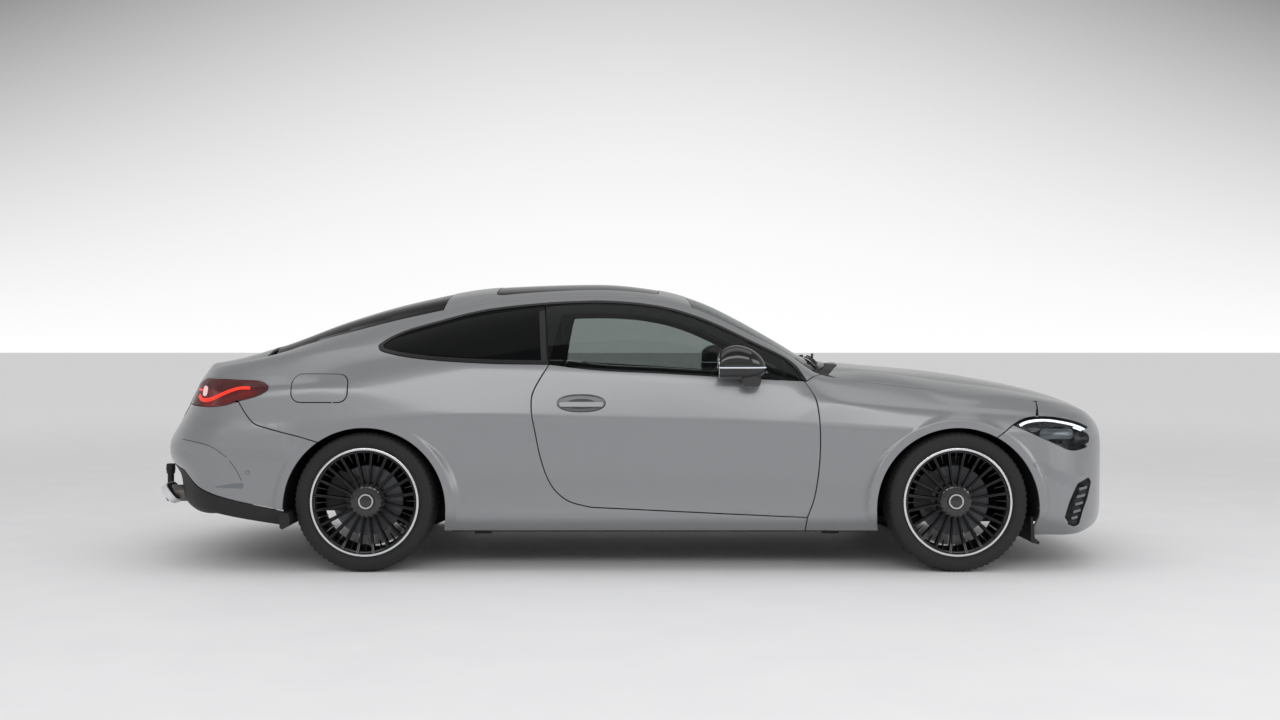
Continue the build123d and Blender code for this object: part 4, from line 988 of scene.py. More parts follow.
def inward(line, width, loop, at):
    """1 where a positive offset by the width takes the points of a line into a loop, and -1 where not."""
    return 1 if inside(offset(line, width)[at], loop).all() else -1


# The middle pillar leans: a strip between the door glass and the quarter window, with its
# two edges given at the belt and at the rail.
PILLAR_FRONT, PILLAR_BACK, PILLAR_FOOT = REAR + 884 * MM, REAR + 846 * MM, 1003 * MM
PILLAR_LEAN = 65 / 700
GLASS_TUCK = 24
window_opening = closed(window_line, quarter_foot, belt_line, soft=2)
to_glass = inward(window_line[200:203], 10, window_opening, slice(None))
pillar_x = PILLAR_FRONT - (window_edge[:, 1] - PILLAR_FOOT) * PILLAR_LEAN
ahead, behind = window_edge[:, 0] > pillar_x, window_edge[:, 0] < pillar_x - 5 * MM
glass_top = offset(side_line(window_edge[ahead]), GLASS_TUCK * to_glass)
glass_top = glass_top[inside(glass_top, window_opening)]
door_glass = closed(glass_top, side_line(straight(rear((859, 1277), (884, 1003)))), belt_line)
quarter_glass = closed(side_line(window_edge[behind]), quarter_foot,
                       side_line(straight(rear((879, 1003), (854, 1277)))))
pane("quarter_windows", [quarter_glass], side_rays, "dark_glass", dark_glass, ["quarter_glass"],
     twin=True)
glass_data = one_finish(sheet([door_glass], side_rays, GLASS, gap=3, roll=1, sink=2, extra_rows=()))
for side_name, data in (("right", glass_data), ("left", mirrored(*glass_data))):
    fit(f"door_window_{side_name}", data, [clear_glass], f"door_{side_name}",
        [f"door_glass_{side_name}"])

# The plenum cover under the wipers and the rain channel ahead of the boot lid.
COWL = front((-640, 0), (-660, 500), (-700, 715), (-540, 712), (-500, 500), (-462, 0))
CHANNEL = rear((-470, 0), (-440, 590), (-570, 604), (-570, 0))
for piece_name, edge, sunk in (("plenum_cover", COWL, 10), ("rain_channel", CHANNEL, 26)):
    pane(piece_name, [closed(both_sides(straight(edge)), soft=8)], plan_rays, "black_plastic",
         grained_black, [], grid=30, sunk=sunk)

# ---------------- wheels and tyres
# 19 inch cast aluminium wheels in gloss black, with twenty slim ridged spokes, a turned
# bright ring and five bolts, on low profile moulded rubber tyres with four long grooves.
def lathe(profile, turns=96, dents=None):
    """Points and quads of a turned shape: (along, radius) pairs in mm swept round the Y axis. dents
    gives a change of radius in mm by turn and point."""
    p = np.asarray(profile, float) * MM
    radius = np.tile(p[:, 1], (turns, 1)) + (0 if dents is None else dents * MM)
    angle = np.arange(turns)[:, None] * 2 * math.pi / turns
    points = np.stack([np.cos(angle) * radius, np.tile(p[:, 0], (turns, 1)), np.sin(angle) * radius],
                      axis=2)
    i, j = (a.ravel() for a in np.meshgrid(np.arange(turns), np.arange(len(p) - 1), indexing="ij"))
    k, n = (i + 1) % turns, len(p)
    quads = np.stack([i * n + j, k * n + j, k * n + j + 1, i * n + j + 1], axis=1)
    return points.reshape(-1, 3), quads.tolist()


def spun(piece, turn):
    """A piece turned about the Y axis, in degrees."""
    c, s = math.cos(math.radians(turn)), math.sin(math.radians(turn))
    return piece[0] @ np.array([[c, 0, s], [0, 1, 0], [-s, 0, c]]), piece[1]


def moved(piece, x=0.0, y=0.0, z=0.0, flip=False):
    """A piece mirrored to the right-hand side where asked, then moved, in metres."""
    return piece[0] * ([1, -1, 1] if flip else [1, 1, 1]) + [x, y, z], piece[1]


# Carbon black rubber from a steel mould: dark grey, dull and slightly mottled.
rubber = finish("moulded black tyre rubber", "#19191b", 0.75, tint=("#161618", "#1f1f21", 14),
                grain=(1.5, 0.15))
# Stoved lacquer on a smooth casting: near black, with sharp bright edges.
gloss_rim = finish("gloss black painted cast aluminium", "#0d0d0f", 0.16, 0.3,
                   ("#0b0b0d", "#111113", 30), Coat_Weight=1.0, Coat_Roughness=0.06)
# Fresh turned metal under lacquer: a pale ring that reads as silver.
turned_rim = finish("diamond turned aluminium", "#dcdddf", 0.24, 0.85, ("#d2d3d5", "#e4e5e7", 5),
                    Coat_Weight=0.6)
# Ground iron, coloured darker than bare metal: mid grey between the spokes.
disc_iron = finish("ground cast iron brake disc", "#56575a", 0.4, 0.9, ("#4c4d50", "#606164", 7))
# Phosphate on steel: a dark, oily sheen.
black_steel = finish("black phosphated steel", "#17171a", 0.45, 0.6, ("#131316", "#1e1e21", 5))
# Plated plastic: a soft mirror.
satin_chrome = finish("satin chromed trim", "#c9cacc", 0.22, 1.0, ("#c0c1c3", "#d0d1d3", 6))

# Lengths of the wheel in millimetres: radii of tread, lip and bead seat, half the rim's
# width, and the hub's mounting face out from the wheel's middle.
TYRE_R, LIP_R, SEAT_R, RIM_HALF, HUB_FACE = 337, 263, 242, 107, 40
TYRE_SIDE = [(97, SEAT_R + 1), (99, 256), (101, LIP_R), (108, LIP_R + 4), (113, 271), (118, 277),
             (121, 286), (122.5, 296), (122, 304), (121.5, 305), (121.5, 307), (122, 308), (119.5, 317),
             (115, 325), (109, 331), (102, 334)]
SHOULDER = 97, TYRE_R - 2
GROOVES, GROOVE_HALF, GROOVE_DEEP, GROOVE_EDGE = (62, 21, -21, -62), 4.5, 7, 0.6
TREAD = [(groove + side * (GROOVE_HALF + flare), TYRE_R - deep) for groove in GROOVES
         for side, flare, deep in ((1, 1, GROOVE_EDGE), (1, -1, GROOVE_DEEP), (-1, -1, GROOVE_DEEP),
                                   (-1, 1, GROOVE_EDGE))]
TYRE_PROFILE = (TYRE_SIDE + [SHOULDER] + TREAD + [(-SHOULDER[0], SHOULDER[1])]
                + [(-a, r) for a, r in TYRE_SIDE[::-1]])
TYRE_TURNS, BLOCK_CUT, BLOCK_EVERY = 210, 5, 3
block_cut = np.zeros((TYRE_TURNS, len(TYRE_PROFILE)))
for place, (along, radius) in enumerate(TYRE_PROFILE):
    if radius > 328 and abs(along) > 70:
        block_cut[::BLOCK_EVERY, place] = -BLOCK_CUT
tyre = lathe(TYRE_PROFILE, TYRE_TURNS, block_cut)


def profile(origin, *pairs):
    """Pairs of (along, radius) measured along from an origin."""
    return [(origin + a, r) for a, r in pairs]


ring = lathe(profile(RIM_HALF, (-3, 251.5), (-0.5, 252.5), (0, 255), (0, 260), (-1, 262.3),
                     (-4, LIP_R), (-7, LIP_R - 0.5), (-7, 252), (-3, 251.5)), 180)
barrel = lathe(profile(RIM_HALF, (-4, 251.8), (-8, 250), (-15, 240), (-30, 234))
               + [(20, 230), (-60, 228)]
               + profile(-RIM_HALF, (20, 233), (8, 240), (0, 252), (0, LIP_R), (8, LIP_R), (10, SEAT_R))
               + profile(RIM_HALF, (-12, SEAT_R - 0.5), (-9, 251), (-5, 252)), 144)
hub = lathe(profile(HUB_FACE, (-6, 30), (-6, 70), (6, 78), (20, 76), (25, 66), (24, 44), (28, 41),
                    (28, 30), (-6, 30)), 80)

# A spoke's sections as (radius, height of its face, depth, half width), and the same for the
# short fin between each two, which stiffens the rim.
SPOKES, SPOKE_PHASE = 20, 10
SPOKE_LINE = [(60, 63, 30, 5.0), (72, 65, 28, 5.5), (90, 66, 27, 6.0), (130, 71, 25, 6.5),
              (175, 79, 24, 7.0), (215, 90, 23, 7.6), (238, 98.5, 22, 8.4), (250, 103, 20, 10)]
FIN_LINE = [(196, 62, 12, 2.5), (222, 76, 16, 4), (244, 92, 22, 7)]
# Corners of the section, as (share of the depth, fall in millimetres, share of the half width).
SPOKE_SECTION = [(1, 0, -1.25), (0, 9, -1.3), (0, 0.5, -0.62), (0, 0.5, -0.34), (0, 4, 0),
                 (0, 0.5, 0.34), (0, 0.5, 0.62), (0, 9, 1.3), (1, 0, 1.25)]
FIN_SECTION = [(1, 0, -1), (0, 0, -0.3), (0, 0, 0.3), (1, 0, 1)]
spoke, fin = (swept([[np.array((r, face - share * deep - fall, across * wide)) * MM
                      for share, fall, across in section] for r, face, deep, wide in line])
              for line, section in ((SPOKE_LINE, SPOKE_SECTION), (FIN_LINE, FIN_SECTION)))
spokes = [spun(piece, 360 / SPOKES * (i + shift) + SPOKE_PHASE) for i in range(SPOKES)
          for piece, shift in ((spoke, 0), (fin, 0.5))]
BOLT_RING, BOLTS, STUD_RING, STUDS = 56, 5, 33, 24
bolt = lathe(profile(HUB_FACE, (4, 0.01), (4, 10), (19, 10), (22, 8), (22, 5), (14, 4.5), (14, 0.01)), 24)
bolt_seat = lathe(profile(HUB_FACE, (24.6, 17), (26.2, 16.5), (26.2, 14.5), (12, 13), (12, 17),
                          (24.6, 17)), 32)
bolts, bolt_seats = ([spun(moved(piece, x=BOLT_RING * MM), 360 / BOLTS * i + 90) for i in range(BOLTS)]
                     for piece in (bolt, bolt_seat))
cap = lathe(profile(HUB_FACE, (20, 38), (29, 38), (31.5, 36), (31.5, 30), (29.5, 28), (25, 27),
                    (20, 38)), 64)
cap_face = lathe(profile(HUB_FACE, (24, 28.5), (28.5, 27.8), (30, 22), (30.6, 12), (31, 0.01)), 48)
stud = lathe(profile(HUB_FACE, (31, 0.01), (31, 2.2), (32.4, 1.8), (32.6, 0.01)), 10)
studs = [spun(moved(stud, x=STUD_RING * MM), 360 / STUDS * i) for i in range(STUDS)]
DISC_IN, DISC_OUT, DISC_R = -18, 10, 171
disc = lathe(profile(DISC_IN, (0, 88), (0, DISC_R - 1), (1, DISC_R), (9, DISC_R), (10, DISC_R - 12),
                     (18, DISC_R - 12), (19, DISC_R))
             + profile(DISC_OUT, (-1, DISC_R), (0, DISC_R - 1), (0, 92))
             + profile(HUB_FACE, (-4, 88), (0, 84), (0, 40), (-8, 40), (-8, 80))
             + profile(DISC_IN, (0, 80), (0, 88)), 120)
VALVE_AT, VALVE_R, VALVE_TURN = 232, 3.5, 64
valve = swept([[np.array((VALVE_AT + a, along, b)) * MM for a, b in oval(8, VALVE_R, VALVE_R)]
               for along in (60, 88)])
WHEEL_PIECES = [("rim_ring", [ring], turned_rim, "chrome_trim"),
                ("wheel_cap", [cap, *studs], satin_chrome, "chrome_trim"),
                ("wheel_bolts", [*bolts, spun(valve, VALVE_TURN)], black_steel, "steel"),
                ("brake_disc", [disc], disc_iron, "cast")]
for end_name, axle_x in (("front", FRONT), ("rear", REAR)):
    for side_name, flip in (("left", False), ("right", True)):
        where = dict(x=axle_x, y=-WHEEL_Y if flip else WHEEL_Y, z=HUB_Z, flip=flip)
        corner = f"{end_name}_{side_name}"
        wheel_body = f"wheel_{corner}"
        built(f"tyre_{corner}", [moved(tyre, **where)], rubber, wheel_body, [f"tyre_{corner}"])
        rim = [moved(p, **where) for p in (barrel, hub, cap_face, *spokes, *bolt_seats)]
        built(f"rim_{corner}", rim, gloss_rim, wheel_body, [wheel_body])
        for piece_name, pieces, material, slot in WHEEL_PIECES:
            built(f"{piece_name}_{corner}", [moved(p, **where) for p in pieces], material, wheel_body)

# ---------------- window surrounds
# Anodised mouldings clipped round the side windows, with a rubber seal band inside the
# frameless door glass and a grained strip down the middle pillar.
SURROUND, SEAL_BAND, BELT_TRIM = 21, 92, 24.15


def trim(loop, thick, rise=0, gap=0.2, roll=0.5, grid=21):
    """A thin plate on the car's side that stands out of the skin by a rise, or lies below it."""
    return sheet([loop], side_rays, thick, gap=gap, roll=roll, sink=-rise, extra_rows=(), grid=grid)


def ribbon(line, near, far, rise, thick):
    """A moulding between two distances to one side of a line, kept inside the window opening."""
    edges = [line]
    for width in (near, far):
        if width:
            edge = offset(line, width)
            edge = edge[inside(edge, window_opening) & (clearance(edge, line) > 0.96 * abs(width) * MM)]
            edges.append(edge)
    loop = closed(edges[-2], edges[-1][::-1], soft=2, step=7)
    return trim(loop, thick, rise, gap=0.6, roll=0.8, grid=14)


# Anodised aluminium: black with a soft silky highlight.
satin_black = finish("satin black anodised moulding", "#0b0b0c", 0.4, tint=("#0a0a0b", "#0e0e0f", 30))
surround_line = np.vstack([window_line, quarter_foot])
moulding = ribbon(surround_line, 0, SURROUND * to_glass, 1.5, 3)
seal = ribbon(surround_line[surround_line[:, 0] > PILLAR_BACK], 4 * to_glass,
              SEAL_BAND * to_glass, -13, 4)
strip_edges = [side_line(straight(rear(*pairs))) for pairs in (((879, 1006), (856, 1270)),
                                                               ((826, 1266), (851, 1006)))]
pillar_strip = trim(closed(*strip_edges, soft=2), 3, 1, gap=0.6, roll=0.8)
fit("window_mouldings", both(moulding), [satin_black], "body")
fit("roof_seals", both(joined(seal, pillar_strip)), [grained_black], "body")

# ---------------- door handles
# A flush grab bar across an oval cup pressed into the door skin, and the gloss moulding
# that caps the door along the foot of its glass.
BAR_Z, BAR_HALF, BAR_CORNER = (797 * MM, 824 * MM), 109 * MM, 12 * MM
CUP_LIP, CUP_DEEP, CUP_WALL, CUP_POWER = 2, 17, 1.2, 0.6
# Injected plastic from a polished mould: black, with a sharp mirror image under a thin coat.
gloss_black = finish("gloss black moulded plastic", "#08080a", 0.12, tint=("#070708", "#0b0b0d", 40),
                     Coat_Weight=0.5, Coat_Roughness=0.05)


def well(skin, depth, n, wall):
    """A moulded bowl of an even wall: rings of n points of the skin, each pushed in by its depth, with
    a floor in the last ring."""
    normal, count, rings = normals_at(skin), len(skin), len(skin) // n
    points = skin - normal * (depth * MM)[:, None]
    faces = ring_faces(rings, n) + [[count - n + i for i in range(n)]]
    faces += [[v + count for v in face[::-1]] for face in faces]
    faces += [[i, i + count, (i + 1) % n + count, (i + 1) % n] for i in range(n)]
    return np.vstack([points, points - normal * (wall * MM)]), faces


cup_rings = np.linspace(1, 0.04, 14)
cup_skin = lift(side_line(np.vstack([HANDLE_AT + handle_oval * size for size in cup_rings])), side_rays)
cup_depth = np.repeat(CUP_LIP + CUP_DEEP * (1 - cup_rings**2) ** CUP_POWER, len(handle_oval))
cup = well(cup_skin, cup_depth, len(handle_oval), CUP_WALL)
bar_box = rounded_box(HANDLE_AT[0] - BAR_HALF, HANDLE_AT[0] + BAR_HALF, *BAR_Z, BAR_CORNER)
handle_bar = trim(closed(side_line(bar_box), soft=0, step=4), 9, 1, gap=0.5, roll=3.5, grid=9)
belt_foot = belt_line[clearance(belt_line, surround_line) > 7 * MM]
to_sky = inward(belt_foot, BELT_TRIM, window_opening, slice(len(belt_foot) // 2, len(belt_foot) // 2 + 1))
belt_head = offset(belt_foot, BELT_TRIM * to_sky)
belt_head = belt_head[inside(belt_head, window_opening)
                      & (clearance(belt_head, surround_line) > (SURROUND + 4) * MM)]
belt_trim = trim(closed(belt_foot, belt_head[::-1], soft=2, step=7), 8, 1.5, gap=2, roll=1, grid=14)
for side_name, flip in (("left", [1, -1, 1]), ("right", [1, 1, 1])):
    door_body = f"door_{side_name}"
    moulding_data, bar_data = (one_finish(mirrored(*data) if side_name == "left" else data)
                               for data in (belt_trim, handle_bar))
    fit(f"belt_moulding_{side_name}", moulding_data, [gloss_black], door_body)
    fit(f"door_handle_{side_name}", bar_data, [body_paint], door_body)
    built(f"handle_cup_{side_name}", [(cup[0] * flip, cup[1])], body_paint, door_body,
          sharp=60)

# ---------------- door mirrors
# A gloss black shell in two halves over a motor, with a clear indicator strip at the seam
# and a silvered glass behind, on a stem bolted to the door skin.
MIRROR_Y = HALF + 20 * MM
# Sections of the shell: ahead of the front axle, foot, top and half width.
MIRROR_SECTIONS = np.array([(-1158, 944, 1043, 82), (-1156, 938, 1052, 87), (-1144, 935, 1071, 89),
                            (-1112, 934, 1090, 90), (-1072, 934, 1096, 90), (-1022, 936, 1085, 86),
                            (-982, 941, 1064, 74), (-952, 950, 1036, 54), (-936, 962, 1008, 30),
                            (-930.5, 980, 988, 6)]) * MM
# Sections of the stem: inboard of the shell's middle, rear and front ahead of the middle of
# the car, foot and top.
STEM_SECTIONS = ((-46, 596, 660, 932, 968), (-32, 584, 676, 899, 976), (0, 583, 678, 888, 976),
                 (40, 582, 680, 886, 962), (80, 582, 682, 884, 936))
SEAM_Z, STRIP_R, SHELL_POWER = 989 * MM, 3.2, 0.82
LENS_X, LENS_HALF, LENS_Z, LENS_POWER = -1157 * MM, (76 * MM, 46 * MM), 993 * MM, 0.6


def smooth_rows(rows, count):
    """Rows of numbers filled in by a smooth curve through them."""
    t = np.concatenate([[0], np.cumsum(np.linalg.norm(np.diff(rows[:, :3], axis=0), axis=1))])
    return np.stack([monotone_curve(t, rows[:, i], np.linspace(0, t[-1], count))
                     for i in range(rows.shape[1])], axis=1)


def tube(path, radius, sides=10, flat=1.0):
    """A round bar of a radius along a path, or a flatter one: the path plus the radius times cosine
    sideways and sine upwards."""
    path = np.asarray(path, float)
    way = np.gradient(path, axis=0)
    way /= np.linalg.norm(way, axis=1, keepdims=True)
    side = np.cross(way, [0, 0, 1.0])
    side /= np.maximum(np.linalg.norm(side, axis=1, keepdims=True), 1e-9)
    rise = np.cross(side, way)
    a, b = oval(sides, radius * MM, radius * flat * MM).T[:, None, :, None]
    return swept(path[:, None] + a * side[:, None] + b * rise[:, None])


def facing_x(x, section, z):
    """Points of an upright section across the car, at a place along it and a height."""
    return np.stack([np.full(len(section), x), section[:, 0], z + section[:, 1]], axis=1)


mirror_rows = smooth_rows(MIRROR_SECTIONS, 30)
mirror_shell = swept([facing_x(FRONT + x, oval(48, half, (top - foot) / 2, SHELL_POWER), (foot + top) / 2)
                      for x, foot, top, half in mirror_rows])
x, foot, top, half = mirror_rows.T
share = np.minimum(np.abs((SEAM_Z - (foot + top) / 2) / ((top - foot) / 2)), 0.999) ** (1 / SHELL_POWER)
seam = np.stack([FRONT + x, half * (1 - share**2) ** (SHELL_POWER / 2), np.full(len(x), SEAM_Z)], axis=1)
seam = seam[seam[:, 1] > 2 * MM]
indicator = tube(np.vstack([seam * [1, -1, 1], seam[::-1]]), STRIP_R, 8)
mirror_lens = oval(40, *LENS_HALF, LENS_POWER)
mirror_glass = swept([facing_x(FRONT + LENS_X - back * MM, mirror_lens * size, LENS_Z)
                      for back, size in ((0, 1.0), (3, 1.0), (3.5, 0.97))])
stem = swept([np.array([(x0 + x1) / 2, y, (z0 + z1) / 2]) * MM
              + oval(28, (x1 - x0) / 2 * MM, (z1 - z0) / 2 * MM, 0.55)[:, [0, 0, 1]] * [1, 0, 1]
              for y, x0, x1, z0, z1 in STEM_SECTIONS])
# Frosted polycarbonate that carries light from its end: white, barely glowing by day.
lamp_white = finish("clear polycarbonate light guide", "#dfe3e6", 0.1, tint=("#d6dade", "#e8ebee", 8),
                    glow="#e8f0ff", Transmission_Weight=0.3, Emission_Strength=0.35)
# Silver behind flat glass: a clean mirror.
silvered = finish("silvered mirror glass", "#cfd3d6", 0.02, 1.0, ("#cbcfd2", "#d3d7da", 50))
for side_name, side in (("left", 1), ("right", -1)):
    door_body, where = f"door_{side_name}", dict(y=side * MIRROR_Y, flip=side > 0)
    for piece_name, parts, material, slot, gone in (
            ("shell", (mirror_shell, stem), gloss_black, "black_gloss", [f"mirror_{side_name}"]),
            ("indicator", (indicator,), lamp_white, "lamp_clear", ()),
            ("glass", (mirror_glass,), silvered, "chrome_trim", ())):
        built(f"mirror_{piece_name}_{side_name}", [moved(p, **where) for p in parts], material,
              door_body, gone)

# ---------------- headlamps
# A clear moulded cover over a gloss black housing, with a running light guide along the
# top, two projector lenses and a smoked inner reflector.
BOWL_RINGS, BOWL_POWER = np.array((1, 0.985, 0.96, 0.9, 0.78, 0.6, 0.4, 0.2, 0.05)), 0.35


def bowl(loop, centre, depth, lip=3, wall=1.5):
    """A moulded well behind an outline of the side map: it falls from the lip by the depth times
    (1 - share of the way from the centre) to a power."""
    edge = loop[::max(len(loop) // 130, 1)]
    skin = lift(np.vstack([centre + (edge - centre) * size for size in BOWL_RINGS]), side_rays)
    deep = np.repeat(lip + depth * (1 - BOWL_RINGS) ** BOWL_POWER, len(edge))
    return well(skin, deep, len(edge), wall)


def twin(piece):
    """A piece and its mirror image on the other side of the car."""
    return [piece, (piece[0] * [1, -1, 1], [face[::-1] for face in piece[1]])]


def strip(line, near, far, rise=-6, thick=3):
    """A band between two distances to one side of a line, on the skin."""
    edges = [offset(line, width) if width else line for width in (near, far)]
    return trim(closed(edges[0], edges[1][::-1], soft=1, step=5), thick, rise, grid=12)


def map_point(place):
    """One side-view point, on the side map."""
    return side_line(place)[0]


# Polycarbonate with a hard coat: clear, seen by the reflection of the sky alone.
clear_plastic = finish("clear moulded polycarbonate", "#e6e9ea", 0.0, tint=("#e3e6e7", "#e9eced", 60),
                       Transmission_Weight=1.0, IOR=1.02, Coat_Weight=0.25, Coat_Roughness=0.01)
# Metallised plastic behind a smoke tint: a dim grey mirror.
smoked = finish("smoked inner lens", "#74797d", 0.15, 0.5, ("#686d71", "#80858a", 12))
# A frosted rod lit from its end: an even white line.
running_light = finish("lit white light guide", "#f4f6f8", 0.2, tint=("#eef1f4", "#fafbfc", 10),
                       glow="#f4f8ff", Emission_Strength=1.1)
# Thick moulded glass over a dark shutter: nearly black, with one sharp highlight.
projector_glass = finish("projector lens", "#1c2024", 0.03, 0.2, ("#181c20", "#242a30", 15),
                         Coat_Weight=1.0)
LAMP_MIDDLE, LAMP_DEEP = front((560, 665)), 62
GUIDE_NEAR, GUIDE_FAR, LOWER_FROM, LOWER_WIDE, LOWER_POINTS = 15, 29, 34, 9, 12
cover = trim(headlamp, 2.5, -0.5, gap=2.5, roll=1, grid=16)
fit("headlamp_covers", both(cover), [clear_plastic], "body", ["headlamps"])
built("headlamp_housings", twin(bowl(headlamp, map_point(LAMP_MIDDLE), LAMP_DEEP)), gloss_black, "body")
top_line = lamp_crown[3:-1]
to_lamp = inward(top_line, 12, headlamp, slice(5, 8))
guide = strip(top_line, GUIDE_NEAR * to_lamp, GUIDE_FAR * to_lamp)
lower_guide = strip(offset(top_line, LOWER_FROM * to_lamp)[-LOWER_POINTS:], 0, LOWER_WIDE * to_lamp)
fit("running_lights", both(joined(guide, lower_guide)), [running_light], "body")
lens_box = rounded_box(FRONT + 398 * MM, FRONT + 585 * MM, 640 * MM, 700 * MM, 29 * MM)
inner_lens = trim(closed(side_line(lens_box), soft=0), 3, -22, gap=0.5, roll=1, grid=14)
fit("headlamp_reflectors", both(inner_lens), [smoked], "body")

# Each projector is a can with a domed lens, turned out from straight ahead by an angle.
PROJECTOR_R, PROJECTOR_LONG, LENS_DOME = 27, 34, 13
PROJECTORS = ((622, 640, 40), (700, 632, 62))
dome = [(LENS_DOME * math.cos(q), (PROJECTOR_R - 4) * math.sin(q))
        for q in np.linspace(math.pi / 2, 0.01, 8)]
projector = lathe([(-PROJECTOR_LONG, 0.01), (-PROJECTOR_LONG, PROJECTOR_R), (-4, PROJECTOR_R + 2),
                   (2, PROJECTOR_R + 2), (2, PROJECTOR_R - 3), (0, PROJECTOR_R - 4)] + dome, 48)
projectors = []
for ahead, level, turn in PROJECTORS:
    face = lift([map_point(front((ahead, level)))], side_rays)[0]
    c, s = math.cos(math.radians(turn)), math.sin(math.radians(turn))
    points = projector[0] @ np.array([[c, -s, 0], [s, c, 0], [0, 0, 1]])
    inner = face + np.array([-s, c, 0]) * PROJECTOR_LONG * MM
    projectors += twin((points * [1, -1, 1] + inner, projector[1]))
built("headlamp_projectors", projectors, projector_glass, "body")

# ---------------- grille, intake and vents
# Moulded black nets and blades behind the openings of the bumper skin, and finned air
# vents in its corners.
NET_WIDE, NET_HIGH, NET_BAR = 16 * MM, 9 * MM, 2 * MM
GRILLE_BLADE, GRILLE_LEVELS = 545, (556, 591, 626, 661)
INTAKE_BLADE, INTAKE_LEVELS = 480, (366, 404)


def blade(half, foot, top, rise):
    """A level blade across the nose, from one side to the other."""
    right = np.array([(0, top), (half, top), (half, foot), (0, foot)]) * MM
    return trim(across_centre(unroll(nose_points(straight(right, 6))), NOSE_CENTRE), 6, rise, roll=2, grid=30)


def behind_hole(loop):
    """A backing plate under an opening of the bumper skin, 4 mm larger all round."""
    return trim(loop, 3, -30, gap=-8, grid=26)


# Moulded bars, with the deep shadow between them painted as near-black cells: a fine dark lattice.
net_with_painted_shade = finish("moulded black air net", "#0c0c0d", 0.5)
tree = net_with_painted_shade.node_tree
upright = node(tree, "Mapping", Vector=place_of(tree), Rotation=(0, math.pi / 2, math.pi / 2))
lattice = node(tree, "TexBrick", {"offset": 0.5}, Vector=upright.outputs["Vector"], Scale=1.0,
               Brick_Width=NET_WIDE, Row_Height=NET_HIGH, Mortar_Size=NET_BAR,
               Color1=linear("#030303"), Color2=linear("#050505"), Mortar=linear("#1b1b1d"))
tree.links.new(lattice.outputs["Color"], tree.nodes["Principled BSDF"].inputs["Base Color"])
# Each side vent is closed behind by a duct in the net finish, whose near-black cells are painted shade.
vent_duct = bowl(vent_hole, map_point(front((605, 330))), 40)
built("vent_ducts", twin(vent_duct), net_with_painted_shade, "body")
fit("air_nets", joined(behind_hole(grille_hole), behind_hole(intake_hole)), [net_with_painted_shade], "body",
    ["grille"])
grille_blades = [blade(GRILLE_BLADE, z, z + 12, -8) for z in GRILLE_LEVELS]
fit("grille_blades", joined(*grille_blades), [satin_chrome], "body")
intake_blades = [blade(INTAKE_BLADE, z, z + 13, -12) for z in INTAKE_LEVELS]
fit("intake_blades", joined(*intake_blades), [gloss_black], "body")
# Fins of the side vents, as (rear, front, foot), each rising to the front.
VENT_FINS = ((612, 668, 386), (598, 654, 350), (588, 640, 314), (577, 624, 278), (566, 604, 246))
fin_lines = [side_line(straight(front((x0, z), (x1, z + 6), (x1, z + 20), (x0, z + 13))))
             for x0, x1, z in VENT_FINS]
fins = [trim(closed(line, soft=1), 4, -10, roll=0.8, grid=14) for line in fin_lines]
fit("vent_fins", both(joined(*fins)), [smoked], "body")

# ---------------- tail lamps
# Red acrylic covers that wrap the corners, over a smoked well with a lit guide that runs
# under a clear oval and sweeps forward.
GUIDE = rear((-560, 893), (-610, 893), (-660, 878), (-720, 852), (-775, 833), (-830, 832), (-862, 850))
GUIDE_HALF, CROSS_GUIDE = 9, np.array([(740, 872), (612, 872), (612, 882), (740, 882)]) * MM
WELL_MIDDLE, WELL_DEEP = rear((-760, 866)), 45
# Dyed acrylic: it darkens and reddens what is behind it.
red_cover = finish("red tinted acrylic", "#d8bcbc", 0.02, tint=("#d4b6b6", "#dcc2c2", 40),
                   Transmission_Weight=1.0, IOR=1.02, Coat_Weight=0.3, Coat_Roughness=0.02)
# A red rod lit from its end: an even glowing line.
lit_red = finish("lit red light guide", "#ff3d2a", 0.3, tint=("#ff3826", "#ff4a38", 10),
                 glow="#ff4a35", Emission_Strength=1.4)
# Metallised plastic: dull and pinkish under the cover.
lamp_well = finish("smoked lamp well", "#8a6a6c", 0.35, 0.3, ("#7c5c5e", "#9a7a7c", 25))
tail_lamp = closed(lamp_nose, lamp_top, lamp_back, lamp_foot[::-1])
cover = trim(tail_lamp, 2.5, -0.5, gap=3, roll=1, grid=16)
fit("tail_lamp_covers", both(cover), [red_cover], "body", ["tail_lamps"])
built("tail_lamp_wells", twin(bowl(tail_lamp, map_point(WELL_MIDDLE), WELL_DEEP)), lamp_well, "body")
rear_guide = strip(side_line(curve(GUIDE)), -GUIDE_HALF, GUIDE_HALF, rise=-7)
cross_guide = trim(closed(unroll(tail_points(straight(CROSS_GUIDE))), soft=1), 3, -7)
fit("tail_light_guides", both(joined(rear_guide, cross_guide)), [lit_red], "body")
oval_box = rounded_box(REAR - 828 * MM, REAR - 796 * MM, 848 * MM, 900 * MM, 15 * MM)
oval_lens = trim(closed(side_line(oval_box), soft=0), 3, -6, roll=1)
fit("reversing_lamps", both(oval_lens), [running_light], "body")

# ---------------- tail trim
# Bright exhaust finishers under the valance, pressed from stainless steel, side reflectors
# clipped into the bumper, and over them the shade of a groove, painted as a thin black strip.
FINISHER_AT, FINISHER_HALF = np.array([-2284, -550, 340]) * MM, (78 * MM, 46 * MM)
FINISHER_UP, FINISHER_FACE = np.array([-0.62, 0, 0.82]), np.array([-0.82, 0, -0.57])
# The frame's section: out from its line, and along the way that it faces.
FINISHER_SECTION = [(-6, -30), (-7, 0), (-3, 5), (3, 5), (7, 0), (6, -30)]
